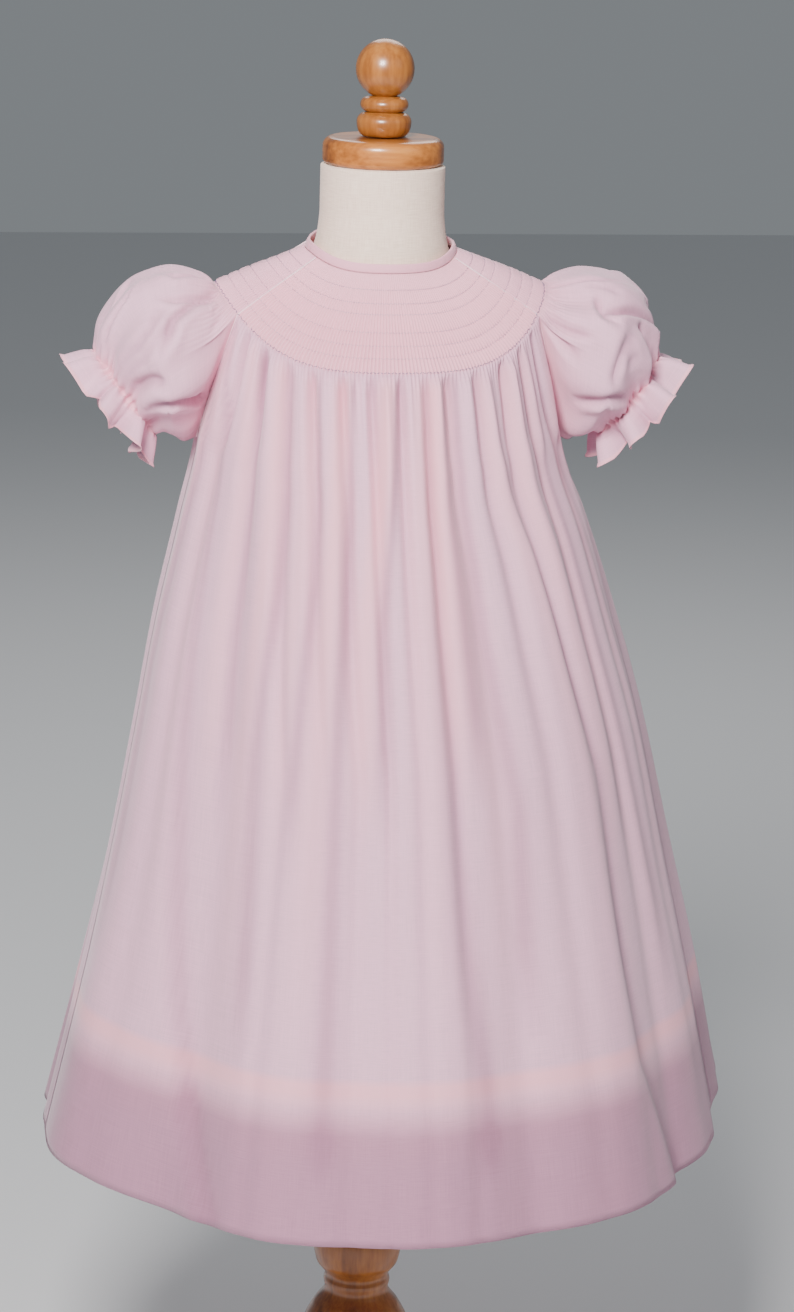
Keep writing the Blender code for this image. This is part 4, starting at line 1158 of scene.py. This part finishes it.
def smocking_runs(row, pleats, first, last):
    """Stitches of one row across one piece of the yoke."""
    fall = row * YOKE_FALL
    runs = []
    for index in range(1, pleats):
        lean = CABLE_STEP * (1 if index % 2 else -1)
        crest = index + STITCH_SHARE * np.array((-0.5, 0.0, 0.5))
        share = crest / pleats * 2 - 1
        angle = first + (last - first) * (share + 1) / 2
        stitch_fall = fall + lean * np.array((-1.0, 0.0, 1.0))
        lift = pleat_reach(pleats, np.full(3, (index + 0.5) / pleats * 2 - 1), stitch_fall)
        lift = lift * np.array((1.0, 0.75, 1.0)) + STITCH_LIFT
        runs.append(body_point(stitch_fall, angle) + body_normal(stitch_fall, angle) * lift[:, None])
    return runs


YOKE_SEAM = 58.0
YOKE_PIECES = {
    "front": (FRONT_PLEATS, -YOKE_SEAM, YOKE_SEAM),
    "back_left": (BACK_PLEATS, 180 - YOKE_SEAM, CENTRE_BACK - 3),
    "back_right": (BACK_PLEATS, -CENTRE_BACK + 3, YOKE_SEAM - 180),
    "sleeve_left": (SLEEVE_PLEATS, YOKE_SEAM, 180 - YOKE_SEAM),
    "sleeve_right": (SLEEVE_PLEATS, YOKE_SEAM - 180, -YOKE_SEAM),
}
upper_runs, lowest_runs = [], []
for pleats, first, last in YOKE_PIECES.values():
    for row in SMOCK_ROWS[:-1]:
        upper_runs += smocking_runs(row, pleats, first, last)
    lowest_runs += smocking_runs(SMOCK_ROWS[-1], pleats, first, last)
smocking = add_threads("smocking_rows", upper_runs, THREAD_RADIUS, mauve_thread)
smocking_lowest = add_threads("smocking_lowest_row", lowest_runs, BOTTOM_RADIUS, dark_thread)

# %% [markdown]
# The raglan seams show as a fine raised line where the sleeve's cloth meets the body's. Each is
# one soft roll from the neckline to the underarm.

# %% Raglan seams
SEAM_RADIUS = 0.00045
SEAM_LIFT = 0.0004


def raglan_run(sign, side_sign):
    fall = np.linspace(0.001, UNDERARM_FALL, 90)
    angle = seam_angle(fall)
    angle = sign * (angle if side_sign > 0 else 180 - angle)
    lift = SEAM_LIFT * np.where(fall < YOKE_FALL, 1.6, 0.6)
    return body_point(fall, angle) + body_normal(fall, angle) * lift[:, None]


raglan_runs = [raglan_run(sign, side_sign) for sign in (1, -1) for side_sign in (1, -1)]
raglan_seams = add_threads("raglan_seams", raglan_runs, SEAM_RADIUS, pink_thread)

# %% [markdown]
# The neck is bound with a narrow bias strip, rolled over the edge. Its section is a rounded
# band, carried round the neckline and closed at the centre back.

# %% Neck binding
BINDING_HEIGHT = 0.0055
BINDING_WALL = 0.0018
BINDING_COLUMNS = 240
BINDING_SECTION = 14


def add_binding():
    angle = np.linspace(-CENTRE_BACK + 0.15, CENTRE_BACK - 0.15, BINDING_COLUMNS)
    fall = np.zeros(BINDING_COLUMNS)
    edge = body_point(fall, angle)
    normal = body_normal(fall, angle)
    around = unit(body_point(fall, angle + 0.6) - body_point(fall, angle - 0.6))
    up_yoke = unit(np.cross(normal, around))
    lift = unit(up_yoke * 0.5 + np.array((0.0, 0.0, 1.0)))
    face = unit(np.cross(around, lift))
    middle = edge + lift * (BINDING_HEIGHT / 2 + 0.0002) + face * (0.0003 - BINDING_WALL / 2)
    turns = np.linspace(0, 2 * np.pi, BINDING_SECTION, endpoint=False)
    power = 0.6
    tall = np.sign(np.sin(turns)) * np.abs(np.sin(turns)) ** power * BINDING_HEIGHT / 2
    thick = np.sign(np.cos(turns)) * np.abs(np.cos(turns)) ** power * BINDING_WALL / 2
    ripple = 1 + 0.10 * np.sin(angle * 0.9) * np.sin(angle * 0.23)
    rings = (middle[:, None] + lift[:, None] * tall[None, :, None]
             + face[:, None] * thick[None, :, None] * ripple[:, None, None])
    points = rings.reshape(-1, 3)
    faces = []
    for column in range(BINDING_COLUMNS - 1):
        for step in range(BINDING_SECTION):
            here = column * BINDING_SECTION + step
            after = column * BINDING_SECTION + (step + 1) % BINDING_SECTION
            faces.append((here, here + BINDING_SECTION, after + BINDING_SECTION, after))
    faces.append(tuple(range(BINDING_SECTION)))
    last = (BINDING_COLUMNS - 1) * BINDING_SECTION
    faces.append(tuple(range(last + BINDING_SECTION - 1, last - 1, -1)))
    mesh = bpy.data.meshes.new("dress_neck_binding")
    mesh.from_pydata(points.tolist(), [], faces)
    mesh.materials.append(batiste)
    mesh.shade_smooth()
    layer = mesh.uv_layers.new(name="cloth")
    bias = np.stack((np.repeat(angle, BINDING_SECTION) * 0.0008,
                     np.tile(np.arange(BINDING_SECTION), BINDING_COLUMNS) * 0.001), axis=-1)
    bias = bias @ np.array(((0.7, 0.7), (-0.7, 0.7)))
    corners = np.empty(len(mesh.loops), np.int32)
    mesh.loops.foreach_get("vertex_index", corners)
    layer.data.foreach_set("uv", bias[corners].astype(np.float32).ravel())
    set_tones(mesh, np.tile((0.7, 0.15), (len(points), 1)))
    thing = bpy.data.objects.new("dress_neck_binding", mesh)
    bpy.context.scene.collection.objects.link(thing)
    print("binding faces", len(mesh.polygons))
    return thing


neck_binding = add_binding()

# %% [markdown]
# The photograph doesn't show the back. A dress this close at the neck must open somewhere, so a
# plain placket runs down from the binding, with three small buttons.

# %% Back placket and buttons
PLACKET_WIDTH = 0.016
PLACKET_WALL = 0.0012
PLACKET_LIFT = 0.0006
BUTTON_RADIUS = 0.0048
BUTTON_THICKNESS = 0.0022
BUTTON_FALLS = tuple(np.interp((0.22, 0.95, 2.7), np.arange(len(FALL)), FALL))


def on_placket(fall, offset, lift):
    reach = np.where(offset > 0, ring_value(fall, "left"), ring_value(fall, "right"))
    angle = 180 - np.degrees(np.arcsin(np.abs(offset) / reach))
    angle = np.where(offset > 0, angle, -angle)
    return body_point(fall, angle) + body_normal(fall, angle) * lift[..., None], body_normal(fall, angle)


def add_placket():
    """The strip over the centre back opening."""
    rows, columns = 60, 13
    across = np.linspace(0.5, -0.5, columns) * PLACKET_WIDTH
    offset, fall = np.meshgrid(across, np.linspace(0.0005, UNDERARM_FALL, rows))
    offset = np.where(np.abs(offset) < 1e-5, 1e-5, offset)
    rounded = 1 - 0.35 * np.abs(offset / (PLACKET_WIDTH / 2)) ** 6
    lift = PLACKET_LIFT + PLACKET_WALL * rounded
    points, normals = on_placket(fall, offset, lift)
    cloth = np.stack((offset, -fall), axis=-1).reshape(-1, 2)
    faces = [tuple(face) for face in grid_faces(rows, columns)]
    tones = np.tile((0.55, 0.0), (rows * columns, 1))
    return add_shell("dress_back_placket", points.reshape(-1, 3), normals.reshape(-1, 3), faces,
                     cloth, tones, batiste, thickness=PLACKET_WALL * 0.8)


back_placket = add_placket()
EDGE_STITCH = 0.0026
placket_runs = []
for side_offset in (PLACKET_WIDTH / 2 - EDGE_STITCH / 2, -PLACKET_WIDTH / 2 + EDGE_STITCH / 2):
    for start in np.arange(0.003, UNDERARM_FALL - 0.003, EDGE_STITCH):
        falls = np.array((start, start + EDGE_STITCH * 0.72))
        stitch_lifts = np.full(2, PLACKET_LIFT + PLACKET_WALL * 0.98)
        spots, _ = on_placket(falls, np.full(2, side_offset), stitch_lifts)
        placket_runs.append(spots)
placket_stitches = add_threads("placket_stitches", placket_runs, 0.00014, pink_thread)


def add_button(name, fall):
    """A shirt button: a raised rim and a sunk middle, with thread crossed over it as if through four
    holes, which are not cut.
    """
    button_lift = PLACKET_LIFT + PLACKET_WALL + 0.0003
    spot, normal = on_placket(np.array((fall,)), np.array((1e-5,)), np.array((button_lift,)))
    spot, normal = spot[0], normal[0]
    side = unit(np.cross((0.0, 0.0, 1.0), normal))
    over = np.cross(normal, side)
    profile = [(0.0, 0.70), (0.50, 0.70), (0.62, 0.76), (0.74, 0.95), (0.84, 1.0), (0.94, 0.94),
               (1.0, 0.72), (1.0, 0.5), (0.93, 0.2), (0.80, 0.03), (0.60, 0.0), (0.0, 0.0)]
    segments = 40
    points = [spot + normal * profile[0][1] * BUTTON_THICKNESS]
    for radius, height in profile[1:-1]:
        for step in range(segments):
            turn = 2 * math.pi * step / segments
            flat = side * math.cos(turn) + over * math.sin(turn)
            points.append(spot + flat * radius * BUTTON_RADIUS + normal * height * BUTTON_THICKNESS)
    points.append(spot)
    faces = []
    for step in range(segments):
        after = (step + 1) % segments
        faces.append((0, 1 + step, 1 + after))
        for ring in range(len(profile) - 3):
            first = 1 + ring * segments
            faces.append((first + step, first + segments + step, first + segments + after, first + after))
        outer = 1 + (len(profile) - 3) * segments
        faces.append((outer + step, len(points) - 1, outer + after))
    mesh = bpy.data.meshes.new(name)
    mesh.from_pydata([tuple(point) for point in points], [], faces)
    mesh.materials.append(pearl)
    mesh.shade_smooth()
    thing = bpy.data.objects.new(name, mesh)
    bpy.context.scene.collection.objects.link(thing)
    reach = BUTTON_RADIUS * 0.24
    top = normal * BUTTON_THICKNESS * 0.82
    threads = [[spot + top + side * reach * a + over * reach * b, spot + top * 1.06,
                spot + top - side * reach * a - over * reach * b] for a, b in ((1, 1), (1, -1))]
    return thing, threads


buttons, button_runs = [], []
for index, button_fall in enumerate(BUTTON_FALLS):
    button, threads = add_button(f"dress_button_{index + 1}", button_fall)
    buttons.append(button)
    button_runs += threads
button_threads = add_threads("button_threads", button_runs, 0.0003, pink_thread)

# %% [markdown]
# The form is turned and padded, then covered tightly in cotton. Its neck rises straight from
# gently flaring shoulders. It is a loft through rings, like the dress, and closed at both ends.

# %% Dress form
FormRing = namedtuple("FormRing", "half_width half_depth z")
NECK_RADIUS = 0.0375
CAP_BOTTOM = 0.8710
NECK_RINGS = [
    FormRing(0.0360, 0.0360, CAP_BOTTOM - 0.0003),
    FormRing(NECK_RADIUS, NECK_RADIUS, CAP_BOTTOM - 0.0015),
    FormRing(NECK_RADIUS, NECK_RADIUS, 0.8580),
    FormRing(NECK_RADIUS, NECK_RADIUS, 0.8450),
    FormRing(0.0385, 0.0385, 0.8320),
]
SHOULDER_ROWS = (
    (0.00, 0.0038), (0.14, 0.0011), (0.35, 0.0011), (0.60, 0.0011), (0.80, 0.0018), (0.97, 0.0055),
)
SOLID_WALL = 0.0015
TORSO_RINGS = [
    FormRing(0.0955, 0.0700, 0.7350), FormRing(0.0920, 0.0715, 0.7000),
    FormRing(0.0890, 0.0720, 0.6500), FormRing(0.0880, 0.0730, 0.6000),
    FormRing(0.0930, 0.0770, 0.5500), FormRing(0.0950, 0.0780, 0.5150),
    FormRing(0.0900, 0.0730, 0.4990), FormRing(0.0780, 0.0620, 0.4950),
]
FORM_SEGMENTS = 160
FORM_STEPS = 6


def add_form():
    angle = np.linspace(-180, 180, FORM_SEGMENTS, endpoint=False)
    turn = np.radians(angle)

    def ellipse(ring):
        return np.stack((ring.half_width * np.sin(turn), -ring.half_depth * np.cos(turn),
                         np.full(FORM_SEGMENTS, ring.z)), axis=-1)

    rings = [ellipse(ring) for ring in NECK_RINGS]
    for row, drop in SHOULDER_ROWS:
        fall = np.full(FORM_SEGMENTS, row * YOKE_FALL)
        rings.append(body_point(fall, angle) - body_normal(fall, angle) * (SOLID_WALL + drop))
    rings += [ellipse(ring) for ring in TORSO_RINGS]
    rings = np.array(rings)
    knots = np.arange(len(rings), dtype=float)
    places = np.linspace(0, len(rings) - 1, (len(rings) - 1) * FORM_STEPS + 1)
    fine = np.empty((len(places), FORM_SEGMENTS, 3))
    for column in range(FORM_SEGMENTS):
        for axis in range(3):
            fine[:, column, axis] = curve_through(knots, rings[:, column, axis], places)
    levels = len(fine)
    points = np.concatenate((fine.reshape(-1, 3), [fine[0].mean(axis=0), fine[-1].mean(axis=0)]))
    top, bottom = len(points) - 2, len(points) - 1
    faces = []
    for level in range(levels - 1):
        for step in range(FORM_SEGMENTS):
            here = level * FORM_SEGMENTS + step
            after = level * FORM_SEGMENTS + (step + 1) % FORM_SEGMENTS
            faces.append((here, here + FORM_SEGMENTS, after + FORM_SEGMENTS, after))
    last = (levels - 1) * FORM_SEGMENTS
    for step in range(FORM_SEGMENTS):
        after = (step + 1) % FORM_SEGMENTS
        faces.append((step, after, top))
        faces.append((last + after, last + step, bottom))
    mesh = bpy.data.meshes.new("form_body")
    mesh.from_pydata(points.tolist(), [], faces)
    mesh.materials.append(form_cotton)
    mesh.shade_smooth()
    layer = mesh.uv_layers.new(name="cloth")
    girth = np.tile(turn * 0.045, levels)
    cloth = np.stack((girth, points[:-2, 2]), axis=-1)
    cloth = np.concatenate((cloth, [(0.0, points[top, 2]), (0.0, points[bottom, 2])]))
    corners = np.empty(len(mesh.loops), np.int32)
    mesh.loops.foreach_get("vertex_index", corners)
    layer.data.foreach_set("uv", cloth[corners].astype(np.float32).ravel())
    thing = bpy.data.objects.new("form_body", mesh)
    bpy.context.scene.collection.objects.link(thing)
    print("form faces", len(mesh.polygons))
    return thing


form_body = add_form()

# %% [markdown]
# The wooden pieces are turned on a lathe, so each is a profile carried round the Z axis. A
# profile is made of arcs and smooth runs: arc gives the points of a bead, and the post's long
# outline is a curve through a few radii.

# %% Turned wood
TURN_SEGMENTS = 96


def arc(middle_z, half_height, radius, bulge, start, end, steps=10):
    """Part of a bead: angles in degrees, 90 at the top and -90 at the foot."""
    turns = np.radians(np.linspace(start, end, steps))
    return [(radius + bulge * math.cos(t), middle_z + half_height * math.sin(t)) for t in turns]


def add_turned(name, profile, material):
    """Carries a profile, from the top down, round Z and closes its ends."""
    ring_count = len(profile)
    turns = np.linspace(0, 2 * np.pi, TURN_SEGMENTS, endpoint=False)
    points = [(radius * math.cos(t), radius * math.sin(t), z) for radius, z in profile for t in turns]
    points += [(0.0, 0.0, profile[0][1]), (0.0, 0.0, profile[-1][1])]
    faces = []
    for ring in range(ring_count - 1):
        for step in range(TURN_SEGMENTS):
            here = ring * TURN_SEGMENTS + step
            after = ring * TURN_SEGMENTS + (step + 1) % TURN_SEGMENTS
            faces.append((here, here + TURN_SEGMENTS, after + TURN_SEGMENTS, after))
    last = (ring_count - 1) * TURN_SEGMENTS
    for step in range(TURN_SEGMENTS):
        after = (step + 1) % TURN_SEGMENTS
        faces.append((step, after, len(points) - 2))
        faces.append((last + after, last + step, len(points) - 1))
    mesh = bpy.data.meshes.new(name)
    mesh.from_pydata(points, [], faces)
    mesh.materials.append(material)
    mesh.shade_smooth()
    mesh.set_sharp_from_angle(angle=math.radians(42))
    thing = bpy.data.objects.new(name, mesh)
    bpy.context.scene.collection.objects.link(thing)
    print(name, "faces", len(mesh.polygons))
    return thing


CAP_RADIUS = 0.0365
CAP_TOP = 0.8870
cap_profile = [(0.012, CAP_TOP), (CAP_RADIUS - 0.008, CAP_TOP)]
cap_profile += arc(CAP_TOP - 0.0055, 0.0055, CAP_RADIUS - 0.006, 0.006, 84, 0)
cap_profile += [(CAP_RADIUS, CAP_TOP - 0.010)]
cap_profile += arc(CAP_BOTTOM + 0.003, 0.003, CAP_RADIUS - 0.003, 0.003, -5, -86, steps=7)
neck_cap = add_turned("wood_neck_cap", cap_profile, wood_across)

CUP_LOW, CUP_HIGH = 0.8873, 0.9020
COLLAR_LOW, COLLAR_HIGH = 0.9018, 0.9112
BALL_RADIUS = 0.0176
BALL_MIDDLE = 0.9276
finial_profile = arc(BALL_MIDDLE, BALL_RADIUS, 0.0, BALL_RADIUS, 88, -66, steps=34)
finial_profile += arc((COLLAR_LOW + COLLAR_HIGH) / 2, 0.0044, 0.0100, 0.0045, 80, -80, steps=12)
finial_profile += arc(CUP_HIGH - 0.0058, 0.0056, 0.0102, 0.0063, 78, 0, steps=8)
finial_profile += arc(CUP_LOW + 0.0090, 0.0088, 0.0118, 0.0047, -6, -84, steps=8)
finial = add_turned("wood_finial", finial_profile, wood_upright)

POST_RADII = [
    (0.0160, 0.4947), (0.0160, 0.3300), (0.0165, 0.2150), (0.0200, 0.1980), (0.0265, 0.1880),
    (0.0285, 0.1760), (0.0265, 0.1640), (0.0205, 0.1540), (0.0215, 0.1500), (0.0205, 0.1450),
    (0.0280, 0.1330), (0.0340, 0.1200), (0.0355, 0.1060), (0.0330, 0.0880), (0.0250, 0.0700),
    (0.0215, 0.0560), (0.0300, 0.0420), (0.0340, 0.0303),
]
post_knots = np.array([z for _, z in POST_RADII][::-1])
post_values = np.array([radius for radius, _ in POST_RADII][::-1])
post_heights = np.concatenate((np.linspace(0.4947, 0.22, 24), np.linspace(0.218, 0.0303, 150)))
post_profile = list(zip(curve_through(post_knots, post_values, post_heights), post_heights))
stand_post = add_turned("wood_post", post_profile, wood_upright)

base_profile = [(0.05, 0.0300), (0.0560, 0.0300), (0.0900, 0.0272), (0.1100, 0.0244), (0.1200, 0.0222)]
base_profile += arc(0.0105, 0.0100, 0.1215, 0.0085, 60, -60, steps=14) + [(0.1235, 0.0)]
stand_base = add_turned("wood_base", base_profile, wood_across)

# %% [markdown]
# Each piece says which solid it stands for and which material slot its finish belongs to.

PIECES = [
    (front, "front", "dress_cloth"), (back_left, "back_left", "dress_cloth"),
    (back_right, "back_right", "dress_cloth"), (sleeve_left, "sleeve_left", "dress_cloth"),
    (sleeve_right, "sleeve_right", "dress_cloth"), (neck_binding, "neck_binding", "dress_cloth"),
    (back_placket, "back_placket", "dress_cloth"), (form_body, "form_torso", "form_cloth"),
    (neck_cap, "neck_cap", "turned_wood"), (finial, "finial", "turned_wood"),
    (stand_post, "stand_post", "turned_wood"), (stand_base, "stand_base", "turned_wood"),
]
PIECES += [(button, f"button_{index + 1}", "button") for index, button in enumerate(buttons)]
for piece, node, finish_slot in PIECES:
    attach(piece, BODY)
    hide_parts(node)
for piece in (smocking, smocking_lowest, raglan_seams, placket_stitches, button_threads):
    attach(piece, BODY)
